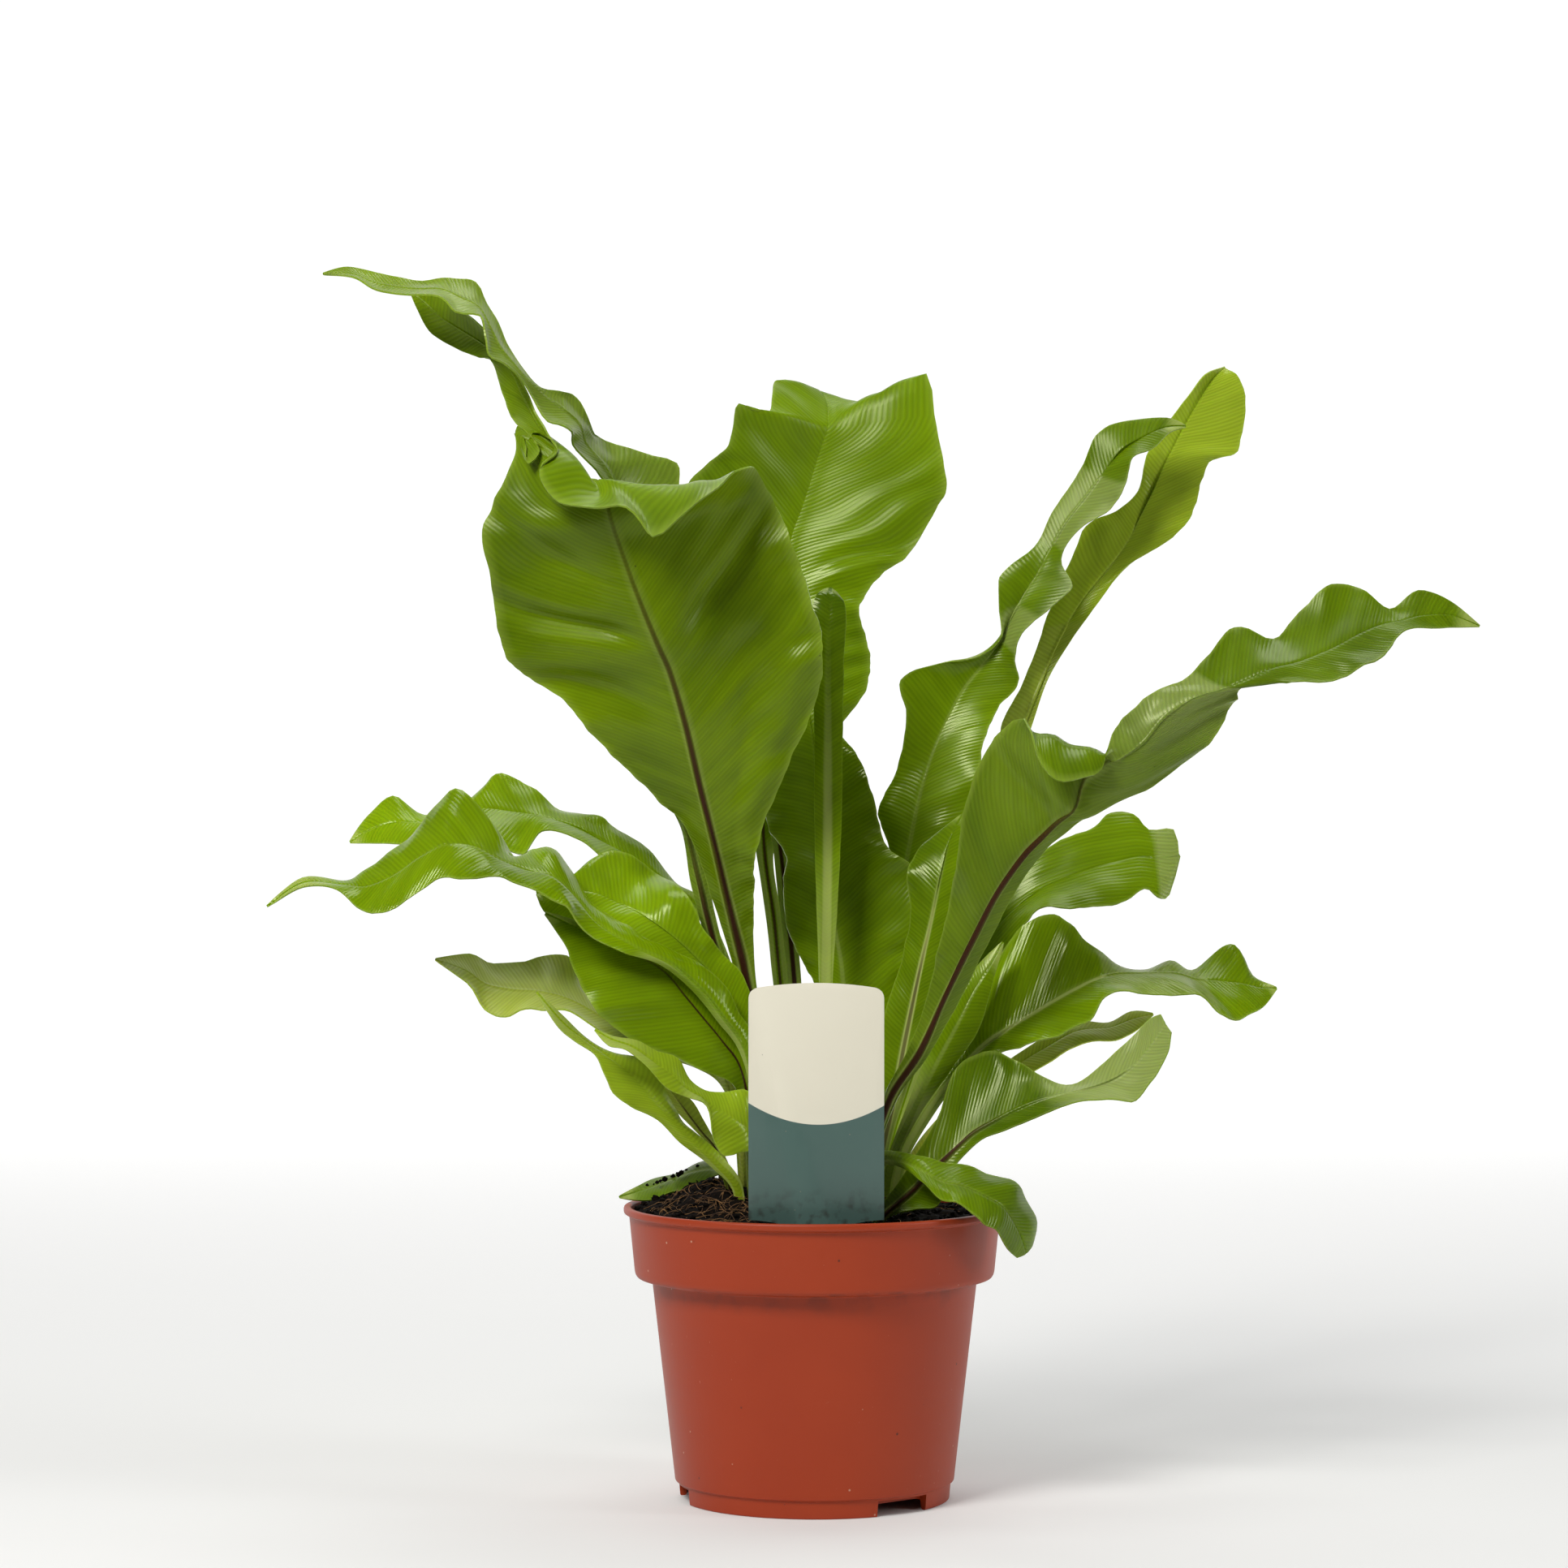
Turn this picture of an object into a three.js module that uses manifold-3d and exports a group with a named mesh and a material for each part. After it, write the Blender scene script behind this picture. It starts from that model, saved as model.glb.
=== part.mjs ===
// A potted bird's nest fern: a plastic nursery pot, peat, a rootstock, a blank plant label and 28 fronds.
// Millimetres, +Z up, front towards -Y, origin under the middle of the pot.
import * as THREE from "three";
import { mergeVertices } from "three/addons/utils/BufferGeometryUtils.js";
import Module from "manifold-3d";

// Pot: a standard 17 cm nursery pot.
const POT_HEIGHT = 130;
const RIM_RADIUS = 85;
const FOOT_RADIUS = 60;
const FOOT_HEIGHT = 8;
const PAD_RADIUS = 14;
const FLOOR_TOP = 7;
const NOTCH_WIDTH = 28;
const NOTCH_HEIGHT = 7;
const NOTCH_TURNS = [-50, 70, 190];
const ROUND_STEPS = 40;
const GAP = 0.3;

// Peat: low at the rim, heaped on the left of the crown.
const PEAT_LEVEL = 125.5;
const PEAT_HEAP = 12.5;

// Label: a plastic card on a stake, just inside the front rim.
const LABEL_LEFT = -28.9;
const LABEL_RIGHT = 29.5;
const LABEL_TOP = 232;
const LABEL_FOOT = 130;
const LABEL_THICK = 0.8;
const LABEL_Y = -66;
const STAKE_HALF = 7;
const STAKE_TIP = 92;

// Fronds: blade and midrib.
const BLADE_THICK = 0.8;
const RIB_DEEP = 2.4;
const RIB_FINE = 0.4;
const BELLY = 0.06;
const LONG_STEP = 34;

// The eye that the frond outlines were read from, level and far in front of the pot.
const EYE = [-13.6, -1900, 317.6];

const wasm = await Module();
wasm.setup();

function solid(geometry) {
  const bare = geometry.clone();
  bare.deleteAttribute("normal");
  bare.deleteAttribute("uv");
  const joined = mergeVertices(bare, 1e-4);
  return new wasm.Manifold(
    new wasm.Mesh({
      numProp: 3,
      vertProperties: new Float32Array(joined.attributes.position.array),
      triVerts: new Uint32Array(joined.index.array),
    }),
  );
}

function geometryOf(body) {
  const mesh = body.getMesh();
  const geometry = new THREE.BufferGeometry();
  geometry.setAttribute("position", new THREE.BufferAttribute(mesh.vertProperties, 3));
  geometry.setIndex(new THREE.BufferAttribute(mesh.triVerts, 1));
  geometry.computeVertexNormals();
  return geometry;
}

const fern = new THREE.Group();

function addNode(name, geometry, color, roughness) {
  const material = new THREE.MeshStandardMaterial({ color, roughness, metalness: 0 });
  const mesh = new THREE.Mesh(geometry, material);
  mesh.name = name;
  fern.add(mesh);
}

// Each station of a frond is [x, z, y, half width] on a stem, or its edges and midrib by hand:
// [left, rib, right] or [left, between, rib, between, right], each [x, z, y].
// x and z are where the point is seen on the upright plane through the pot's axis, y its depth.
// face is 1 where the upper side looks away from the eye, -1 where it looks to the eye.
const FRONDS = {
  frond_front_tall: {
    face: 1,
    stations: [
      [-13, 122, -6, 2.4],
      [-16, 148, -8, 2.5],
      [-24, 195, -9, 3],
      [-31, 234, -12, 4.5],
      [[-47, 271, -25], [-40, 270, -29], [-27, 268, -25]],
      [[-57, 297, -37], [-46, 294, -43], [-25.5, 290, -37]],
      [[-72, 313, -45], [-51, 315, -54], [-14, 322, -45]],
      [[-95, 335, -56], [-57, 342, -66], [0.5, 357, -50]],
      [[-112, 355, -60], [-64, 366, -73], [2, 384, -54]],
      [[-127, 364, -66], [-70, 380, -79], [-2, 400, -60]],
      [[-139, 378, -70], [-79, 402, -85], [-10, 425, -66]],
      [[-144, 406, -74], [-87, 424, -90], [-21, 449, -72]],
      [[-148.5, 428, -76], [-120, 431, -86], [-91, 434, -92], [-58, 446, -90], [-31, 460, -84]],
      [[-144, 442, -76], [-119, 441, -86], [-95, 442, -94], [-64, 450, -96], [-46, 448, -108]],
      [[-139, 449, -76], [-118, 448, -86], [-97, 446, -94], [-74, 450, -99], [-62, 434, -116]],
      [[-136, 458, -74], [-118, 455, -84], [-99, 449, -94], [-84, 449.5, -99], [-72, 427, -118]],
      [[-133, 467, -72], [-118, 462, -80], [-102, 453, -92], [-92, 449, -98], [-84, 441, -112]],
      [[-131, 475, -72], [-119, 468, -80], [-105, 457, -90], [-97, 448.5, -97], [-98, 440, -107]],
      [[-127, 459, -90], [-129, 473, -76], [-109, 462, -88], [-103, 456, -95], [-113, 442, -106]],
      [[-121, 465, -86], [-126, 474, -76], [-113, 467, -86], [-110, 463, -93], [-120, 454, -102]],
      [[-129, 475, -76], [-118, 473, -82], [-114, 466, -92]],
      [[-135, 481, -70], [-124, 481, -77], [-120, 475, -82]],
      [[-139, 492, -64], [-130, 493, -71], [-126, 487, -75]],
      [[-144, 506, -58], [-136, 503, -65], [-131, 498, -69]],
      [[-150, 508, -54], [-147, 514, -58], [-140, 512, -63]],
      [[-158, 511, -48], [-156, 519, -52], [-151, 524, -58]],
      [[-171, 518.5, -46], [-167, 526, -50], [-161, 531, -55]],
      [[-177, 529, -46], [-175, 533, -48], [-170, 537, -51]],
      [-180, 537, -46, 0.5],
    ],
  },
  frond_left_crooked: {
    face: 1,
    stations: [
      [-14, 122, 1, 2.4],
      [-18, 148, 0, 2.5],
      [-31, 200, -4, 2.8],
      [-45, 248, -10, 3.4],
      [[-55, 273, -17], [-51, 272, -20], [-46.5, 271, -18]],
      [[-60, 299, -22], [-58, 298, -27], [-50, 298, -25]],
      [[-78, 330, -34], [-65, 330, -40], [-50, 333, -36]],
      [[-98, 360, -38], [-74, 362, -46], [-50, 368, -40]],
      [[-112, 392, -44], [-82, 398, -52], [-52, 404, -46]],
      [[-112, 420, -50], [-87, 430, -58], [-54, 436, -46]],
      [[-93, 446, -62], [-90, 450, -58], [-60, 450, -42]],
      [[-96, 455, -68], [-93, 458, -60], [-62, 460, -38]],
      [[-101, 462, -74], [-97, 464, -64], [-78, 465, -42]],
      [[-107, 469, -78], [-101, 470, -67], [-92, 471, -48]],
      [[-108, 475, -84], [-104, 480, -70], [-99, 476, -58]],
      [[-119, 479, -86], [-112, 487, -75], [-106, 490, -62]],
      [[-125, 489, -84], [-119, 491, -78], [-112, 492.5, -68]],
      [[-131, 499, -88], [-127, 498, -84], [-123, 495, -78]],
      [[-138, 505, -92], [-133, 505, -87], [-130, 503, -81]],
      [[-145, 509, -94], [-139, 513, -87], [-136, 512, -80]],
      [[-147, 518, -92], [-144, 522, -85], [-140, 521, -77]],
      [[-149, 527, -90], [-150, 531, -81], [-146, 532, -73]],
      [[-160, 529, -90], [-157, 535, -80], [-151, 541, -70]],
      [[-168, 535, -86], [-167, 539, -77], [-163, 543, -68]],
      [[-180, 535.5, -80], [-179, 539, -73], [-178, 542, -66]],
      [[-195, 538, -74], [-195, 541, -68], [-195, 545.5, -62]],
      [[-206, 543.5, -68], [-207, 545.5, -64], [-208, 548, -60]],
      [-219, 545, -60, 0.5],
    ],
  },
  frond_centre_stem: {
    face: -1,
    stations: [
      [-2, 122, 3, 2.4],
      [-4, 148, 6, 2.5],
      [-7, 190, 14, 2.8],
      [-9, 230, 21, 3],
      [-13, 270, 28, 3.4],
      [[-21, 300, 34], [-17, 300, 35], [-12, 300, 34]],
      [[-36, 330, 36], [-24, 330, 39], [-10, 332, 37]],
      [[-52, 362, 36], [-34, 364, 42], [-14, 368, 40]],
      [[-64, 392, 38], [-46, 398, 45], [-24, 404, 40]],
      [[-72, 418, 40], [-58, 426, 47], [-38, 434, 42]],
      [[-74, 434, 44], [-68, 439, 48], [-60, 442, 45]],
      [-73, 445, 48, 0.5],
    ],
  },
  frond_back_tall: {
    face: -1,
    stations: [
      [-5, 122, 15, 2.4],
      [-8, 148, 18, 2.5],
      [-11, 190, 26, 2.8],
      [-15.5, 232, 35, 3.2],
      [-18, 257, 41, 3.4],
      [-22, 285, 48, 3.6],
      [[-30, 306, 52], [-23, 308, 54], [-12, 310, 54]],
      [[-46, 330, 54], [-21, 332, 59], [4, 334, 57]],
      [[-56, 352, 56], [-18, 356, 65], [22, 358, 60]],
      [[-60, 376, 58], [-15, 382, 71], [24.5, 376, 64]],
      [[-62, 400, 58], [-13, 408, 77], [20, 396, 68]],
      [[-60, 425, 60], [-11, 427, 80], [30, 411, 71]],
      [[-58, 448, 62], [-6, 441, 82], [43, 421, 73]],
      [[-48, 460, 64], [-3, 450, 83], [54, 440, 75]],
      [[-40, 467, 66], [0, 460, 84], [59, 451, 77]],
      [[-36, 478, 66], [3, 469, 84], [56, 467, 79]],
      [[-34, 487, 64], [5, 474, 84], [53, 482, 82]],
      [[-21, 482.5, 70], [6, 476, 86], [50, 500, 84]],
      [[-19, 492, 80], [5, 484, 93], [34, 489, 92]],
      [[-17, 498, 88], [2, 491, 99], [20, 485, 99]],
      [[-10, 496, 92], [1, 492, 100], [12, 487, 101]],
    ],
  },
  frond_young_rolled: {
    face: -1,
    stations: [
      [4, 122, -7, 2.4],
      [4.5, 150, -7, 2.4],
      [5, 200, -6, 3],
      [[2, 228, -9], [5, 228, -5], [8, 228, -9]],
      [[1, 260, -13], [5.5, 260, -5], [10, 260, -13]],
      [[0, 300, -15], [6, 300, -4], [12, 300, -15]],
      [[0, 340, -15], [6, 340, -3], [12.5, 340, -15]],
      [[-1, 370, -14], [6, 370, -2], [13, 370, -14]],
      [[-1, 392, -11], [6.5, 392, -2], [14, 391, -11]],
      [[1, 402, -6], [7, 403, -1], [13, 399, -6]],
      [7, 405, 0, 0.8],
    ],
  },
  frond_centre_broad: {
    face: -1,
    stations: [
      [10, 122, 6, 2.4],
      [11, 148, 8, 2.5],
      [12, 190, 11, 2.8],
      [[2, 222, 13], [13, 216, 15], [28, 218, 11]],
      [[-4, 236, 12], [12, 236, 18], [38, 238, 10]],
      [[-11, 250, 12], [9, 254, 21], [46, 252, 8]],
      [[-14, 270, 14], [6, 274, 24], [44, 279, 10]],
      [[-13, 285, 16], [4, 292, 27], [32, 290, 14]],
      [[-20, 298, 18], [2, 310, 29], [27.5, 306, 18]],
      [[-24, 312, 20], [0, 328, 32], [22, 325, 22]],
      [[-22, 330, 24], [-2, 344, 35], [12, 340, 28]],
      [[-16, 350, 30], [-4, 358, 37], [4, 352, 34]],
      [-6, 369, 38, 0.5],
    ],
  },
  frond_right_back: {
    face: -1,
    stations: [
      [15, 122, 15, 2.4],
      [17, 148, 18, 2.5],
      [23, 190, 24, 2.8],
      [30, 235, 31, 3.2],
      [[34, 262, 37], [37, 264, 37], [42, 264, 36]],
      [[33, 290, 42], [43, 292, 40], [54, 291, 36]],
      [[28.5, 306, 46], [47, 312, 44], [67, 305, 36]],
      [[36, 322, 48], [52, 330, 48], [73, 324, 38]],
      [[41, 345, 46], [59, 346, 52], [76.5, 340, 42]],
      [[38.5, 364, 44], [66, 360, 54], [83, 353, 48]],
      [[55, 371.5, 46], [74, 371, 56], [91, 363, 50]],
      [[74, 375, 48], [82, 383, 57], [89, 375, 48]],
      [[83, 384, 50], [88, 394, 57], [94, 387, 46]],
      [[82, 402, 52], [95, 404, 57], [106, 397, 44]],
      [[84, 412, 54], [101, 413, 56], [115, 406, 44]],
      [[98, 423, 56], [106, 422, 55], [110, 418, 49]],
      [[106, 438, 58], [113, 434, 55], [118, 431, 49]],
      [[114, 450, 60], [122, 445, 56], [132, 440, 46]],
      [[120, 460, 60], [129, 454, 56], [139, 452, 46]],
      [[127, 474, 60], [137, 464, 56], [142, 463, 48]],
      [[140, 479, 60], [146, 471, 56], [151, 467, 50]],
      [[157, 480.5, 58], [156, 476, 56], [158, 474, 53]],
      [165.5, 477, 56, 0.5],
    ],
  },
  frond_right_top: {
    face: -1,
    stations: [
      [22, 122, 8, 2.4],
      [25, 148, 11, 2.5],
      [38, 190, 21, 2.6],
      [56, 235, 34, 2.8],
      [72, 280, 46, 3],
      [[81, 320, 56], [85, 318, 57], [88, 316, 56]],
      [[83, 343, 60], [93, 345, 64], [97, 344, 63]],
      [[92, 361, 64], [101, 363, 69], [104, 364, 67]],
      [[99, 378, 69], [108, 380, 74], [114, 381, 69]],
      [[105, 396, 71], [118, 397, 79], [127, 399, 71]],
      [[112, 412, 72], [129, 410, 83], [139, 414, 73]],
      [[121, 432, 72], [138, 422, 86], [155, 424, 75]],
      [[134, 439, 74], [144, 434, 88], [166, 434, 77]],
      [[144, 448, 76], [150, 447, 89], [171, 447, 79]],
      [[148, 464, 78], [157, 462, 90], [176, 461, 82]],
      [[157, 478, 80], [164, 476, 92], [188, 466, 86]],
      [[166, 490, 82], [171, 488, 92], [192, 484, 88]],
      [[174, 500, 86], [177, 498, 92], [189, 498, 90]],
      [183, 503, 92, 0.8],
    ],
  },
  frond_right_long: {
    face: 1,
    stations: [
      [20, 122, -16, 2.4],
      [24, 148, -19, 2.6],
      [34, 178, -26, 3],
      [[42, 200, -31], [47, 198, -34], [51, 197, -32]],
      [[50, 222, -36], [58, 222, -42], [66, 224, -38]],
      [[57, 252, -42], [72, 250, -50], [79, 250, -46]],
      [[63, 280, -46], [82, 269, -56], [88, 267, -52]],
      [[66, 303, -48], [93, 283, -62], [100, 285, -56]],
      [[70, 318, -50], [101, 291, -66], [109, 294, -60]],
      [[77, 333, -52], [108, 298, -69], [118, 300, -62]],
      [[84, 342, -56], [99, 322, -66], [115, 305, -71], [121, 303, -68], [128, 305, -63]],
      [[94, 347, -66], [100, 333, -68], [118, 307, -72], [127, 306, -68], [136, 309, -64]],
      [[100, 331, -86], [106, 337, -72], [122, 311, -73], [132, 310, -69], [144, 313, -64]],
      [[108, 318, -92], [113, 333, -76], [127, 315, -74], [139, 314, -69], [154, 318, -64]],
      [[119, 318, -90], [122, 331, -78], [132, 319, -75], [147, 320, -69], [164, 325, -63]],
      [[128, 323, -84], [130, 329, -79], [137, 323, -76], [153, 326, -69], [172, 332, -62]],
      [[134, 342, -72], [146, 333, -77], [181, 342, -64]],
      [[143, 351, -70], [156, 345, -78], [187, 355, -66]],
      [[155, 361, -68], [168, 353, -79], [190, 360, -70]],
      [[166, 364, -66], [180, 358, -80], [196, 363, -74]],
      [[176, 375, -62], [190, 363, -80], [205, 363, -78]],
      [[187, 388, -58], [202, 369, -79], [216, 363, -82]],
      [[204, 383, -62], [214, 373, -78], [230, 364.5, -84]],
      [[218, 396, -58], [228, 378, -76], [243, 369, -84]],
      [[230, 406, -56], [240, 384, -74], [254, 375, -82]],
      [[243, 405.5, -58], [250, 388, -72], [259, 383, -78]],
      [[256, 395.5, -62], [261, 391, -70], [267, 387.5, -74]],
      [[269, 404, -62], [272, 393, -68], [275, 387, -72]],
      [[283, 399.5, -64], [284, 393, -67], [284, 387.5, -69]],
      [296.5, 388, -68, 0.5],
    ],
  },
  frond_right_middle: {
    face: -1,
    stations: [
      [29, 122, 13, 2.4],
      [32, 148, 16, 2.5],
      [44, 188, 25, 2.8],
      [[54, 222, 32], [60, 224, 31], [66, 222, 27]],
      [[68, 246, 36], [76, 244, 34], [84, 243, 25]],
      [[84, 268, 40], [88, 258, 36], [94, 255, 24]],
      [[98, 284, 42], [101, 267, 38], [102, 262, 22]],
      [[110, 292, 44], [114, 274, 38], [116, 262, 20]],
      [[123, 297, 46], [126, 279, 38], [128, 263, 20]],
      [[132, 304, 50], [136, 282, 38], [139, 265, 22]],
      [[142, 304, 50], [144, 284, 38], [147, 271, 26]],
      [[149, 297, 46], [151, 284, 38], [153, 267, 24]],
      [[160, 297, 44], [158, 284, 38], [158, 268, 28]],
      [162.5, 286, 38, 0.8],
    ],
  },
  frond_right_glossy: {
    face: -1,
    stations: [
      [34, 122, -4, 2.4],
      [38, 148, -4, 2.5],
      [48, 168, -4, 3],
      [[56, 186, -2], [60, 184, -4], [64, 184, -6]],
      [[66, 207, 4], [74, 198, -2], [82, 197, -8]],
      [[77, 226, 8], [86, 206, 0], [93, 200, -12]],
      [[86, 245, 12], [96, 212, 2], [103, 203, -16]],
      [[98, 256, 14], [106, 218, 4], [114, 208, -18]],
      [[109, 259, 14], [115, 223, 5], [124, 214, -18]],
      [[120, 249, 14], [125, 227, 5], [131, 223, -14]],
      [[134, 237, 14], [137, 231, 5], [144, 224, -12]],
      [[147, 234.5, 12], [149, 232, 4], [157, 224, -12]],
      [[158, 238, 14], [160, 231, 4], [169, 223, -12]],
      [[168, 234.5, 12], [170, 229, 4], [179, 216, -14]],
      [[178, 242, 16], [180, 228, 4], [186, 212.5, -14]],
      [[187, 245, 16], [189, 227, 4], [195, 215, -10]],
      [[195, 232, 10], [197, 226, 4], [201, 219, -4]],
      [206, 226.5, 4, 0.5],
    ],
  },
  frond_right_narrow: {
    face: -1,
    stations: [
      [39, 122, 6, 2.2],
      [43, 148, 8, 2.2],
      [56, 166, 12, 2.6],
      [[72, 184, 20], [74, 181, 18], [77, 179, 15]],
      [[86, 194, 26], [88, 190, 24], [92, 186, 18]],
      [[100, 203, 32], [102, 198, 28], [106, 194, 20]],
      [[116, 211, 36], [117, 206, 31], [119, 202, 22]],
      [[131, 211, 36], [131, 208, 32], [134, 203, 24]],
      [[141, 216, 38], [142, 212, 34], [144, 208, 28]],
      [151, 215, 34, 0.5],
    ],
  },
  frond_right_low: {
    face: 1,
    stations: [
      [22, 110, -46, 2.2],
      [[27, 125, -48], [29.5, 124, -47], [32, 123.5, -47]],
      [[32, 133, -46], [38, 131.5, -46], [45, 128, -48]],
      [[38, 141, -42], [47, 140.5, -43], [55, 130, -45]],
      [[48, 157, -34], [56, 148.5, -39], [60, 143, -41]],
      [[56, 172, -28], [62, 154, -36], [66, 151.5, -39]],
      [[61, 188, -22], [69, 160, -34], [74, 159, -38]],
      [[68, 195, -20], [77, 165, -34], [84, 163, -40]],
      [[80, 198.5, -20], [87, 171, -35], [94, 167, -42]],
      [[91, 193, -24], [97, 175.5, -37], [105, 171.5, -45]],
      [[104, 185.5, -28], [109, 179.5, -39], [117, 176, -48]],
      [[117, 184.5, -32], [121, 183, -41], [130, 178, -50]],
      [[129, 194, -32], [132, 187, -42], [143, 176.5, -52]],
      [[141, 204, -32], [141, 193, -42], [151, 187, -50]],
      [[149, 212.5, -34], [149, 202, -42], [157, 198, -48]],
      [[154, 215, -38], [156, 211, -42], [159, 207, -45]],
    ],
  },
  frond_over_rim: {
    face: -1,
    stations: [
      [21, 122, -27, 2.4],
      [24, 142, -29, 2.6],
      [[29, 153, -34], [31, 151, -37], [33, 148, -39]],
      [[38, 153.5, -42], [39, 149, -47], [42, 145, -51]],
      [[49, 151, -48], [48, 144, -55], [49, 139, -61]],
      [[59, 147.5, -49], [57, 139.5, -59], [56, 132.5, -67]],
      [[71, 146, -48], [66, 137, -60], [63, 131, -70]],
      [[82, 142.5, -46], [75, 133, -60], [70, 126, -71]],
      [[91, 139, -44], [83, 128, -58], [76, 121, -70]],
      [[95, 130, -40], [88, 121, -53], [81, 118, -64]],
      [[98.5, 122, -38], [92, 114, -49], [86, 110, -56]],
      [[97, 112, -41], [94, 108, -46], [90, 106.5, -49]],
    ],
  },
  frond_left_long: {
    face: -1,
    stations: [
      [-18, 122, -18, 2.4],
      [-20, 148, -21, 2.5],
      [-25, 178, -26, 2.8],
      [[-33, 198, -29], [-31, 200, -31], [-27, 203, -27]],
      [[-43, 212, -31], [-41, 214, -34], [-33, 215, -27]],
      [[-54, 225, -33], [-51, 226, -37], [-44, 231, -28]],
      [[-68, 237, -38], [-64, 237, -40], [-60, 242, -29]],
      [[-84, 242, -46], [-80, 245, -42], [-78, 250, -29]],
      [[-100, 250, -52], [-97, 255, -43], [-94, 260.5, -28]],
      [[-109, 259, -56], [-108, 267, -43], [-106, 274, -26]],
      [[-115, 266, -58], [-119, 275, -44], [-116, 287, -26]],
      [[-130, 272, -58], [-131, 278, -44], [-126, 288, -28]],
      [[-143, 276, -58], [-143, 284, -45], [-134, 286, -30]],
      [[-156, 274.5, -59], [-153, 289, -45], [-146, 301, -28]],
      [[-167, 276, -59], [-164, 289, -46], [-160, 315, -26]],
      [[-178, 268.5, -60], [-175, 284, -46], [-172, 304, -30]],
      [[-190, 260, -60], [-187, 276, -47], [-184, 290, -34]],
      [[-202, 261.5, -58], [-199, 271, -48], [-198, 280, -38]],
      [[-213, 270.5, -54], [-212, 272, -48], [-209, 274.5, -42]],
      [[-228, 271.5, -52], [-228, 273, -49], [-228, 275.5, -46]],
      [-244, 263, -50, 0.5],
    ],
  },
  frond_left_back: {
    face: -1,
    stations: [
      [-13, 122, 7, 2.4],
      [-16, 148, 10, 2.5],
      [-28, 195, 17, 2.8],
      [-40, 236, 24, 3.2],
      [[-52, 258, 26], [-52, 262, 28], [-50, 265, 30]],
      [[-66, 268, 24], [-66, 273, 30], [-63, 274, 36]],
      [[-80, 276, 22], [-80, 283, 31], [-74, 288, 40]],
      [[-93, 283, 20], [-94, 290, 31], [-88, 297, 42]],
      [[-106, 293, 20], [-108, 297, 31], [-99, 303, 42]],
      [[-122, 297, 20], [-122, 302, 32], [-114, 306, 42]],
      [[-130, 286, 16], [-135, 304, 32], [-127, 316, 44]],
      [[-146, 292, 16], [-149, 305, 32], [-142, 321, 44]],
      [[-162, 296, 18], [-162, 303, 32], [-154, 310, 42]],
      [[-175, 292, 20], [-175, 300, 32], [-174, 303.5, 40]],
      [[-186, 290.5, 22], [-187, 299, 32], [-188, 311.5, 40]],
      [[-196, 291, 26], [-197, 297, 32], [-199, 303, 38]],
      [-207, 291.5, 32, 0.5],
    ],
  },
  frond_left_bright: {
    face: -1,
    stations: [
      [-22, 122, -8, 2.4],
      [-24, 148, -11, 2.5],
      [-27, 180, -16, 3],
      [[-33, 206, -17], [-31, 208, -18], [-26, 212, -17]],
      [[-44, 224, -18], [-41, 227, -19], [-32, 232, -18]],
      [[-57, 236, -19], [-53, 241, -18], [-42, 243, -17]],
      [[-68, 244, -20], [-64, 251, -18], [-50, 254, -17]],
      [[-78, 250, -20], [-75, 258, -16], [-57, 268, -12]],
      [[-90, 254, -20], [-87, 264, -12], [-70, 277, 8]],
      [[-104, 256, -21], [-99, 269, -12], [-82, 285, 6]],
      [[-115, 257, -20], [-110, 270, -12], [-95, 287, 2]],
      [[-121, 261, -18], [-118, 270, -13], [-106, 277, -4]],
      [-124, 269, -14, 0.8],
    ],
  },
  frond_left_wide: {
    face: -1,
    stations: [
      [-27, 122, -14, 2.4],
      [-28, 148, -18, 2.5],
      [-29, 172, -21, 2.8],
      [[-37, 184, -25], [-34, 192, -23], [-30, 197, -22]],
      [[-50, 190, -30], [-42, 203, -24], [-35, 209, -22]],
      [[-63, 196, -34], [-50, 213, -26], [-43, 218, -22]],
      [[-78, 202, -37], [-58, 223, -27], [-51, 228, -22]],
      [[-92, 211, -39], [-67, 234, -28], [-60, 237, -23]],
      [[-101, 222, -40], [-78, 241, -29], [-70, 243, -24]],
      [[-107, 234, -39], [-91, 246, -31], [-84, 248, -26]],
      [[-111, 245, -37], [-103, 252, -32], [-98, 254, -28]],
      [-120, 260, -32, 0.8],
    ],
  },
  frond_left_pale: {
    face: 1,
    stations: [
      [-31, 122, -3, 2.3],
      [-32, 148, -4, 2.4],
      [-34, 170, -5, 2.6],
      [[-42, 184, -8], [-39, 187, -6], [-36, 189, -4]],
      [[-54, 192, -12], [-52, 197, -8], [-48, 199, -3]],
      [[-68, 196, -16], [-66, 203, -10], [-62, 207, -2]],
      [[-84, 201, -20], [-81, 208, -12], [-77, 213, 0]],
      [[-97, 209, -22], [-95, 215, -12], [-91, 222, 4]],
      [[-109, 216, -24], [-108, 222, -12], [-103, 231, 8]],
      [[-124, 217.5, -24], [-122, 226, -12], [-113, 241, 10]],
      [[-138, 215, -24], [-136, 228, -12], [-129, 239.5, 8]],
      [[-147, 218, -22], [-147, 231, -12], [-143, 238, 6]],
      [[-155, 229, -18], [-156, 236, -12], [-154, 242, 2]],
      [-169, 239.5, -10, 0.5],
    ],
  },
  frond_left_small: {
    face: -1,
    stations: [
      [-33, 122, -20, 2.2],
      [-34.5, 138, -22, 2.4],
      [[-47, 148, -24], [-44, 149, -25], [-40, 150, -23]],
      [[-60, 158, -26], [-54, 158, -27], [-48, 158, -23]],
      [[-70, 168, -29], [-63, 168, -28], [-57.5, 165, -23]],
      [[-82, 174, -33], [-71, 177, -28], [-62, 173, -22]],
      [[-90, 180, -35], [-79, 185, -28], [-68, 184, -20]],
      [[-94, 189, -34], [-86, 191, -28], [-78, 195, -20]],
      [[-98, 197, -32], [-94, 197, -28], [-89, 197, -22]],
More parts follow.
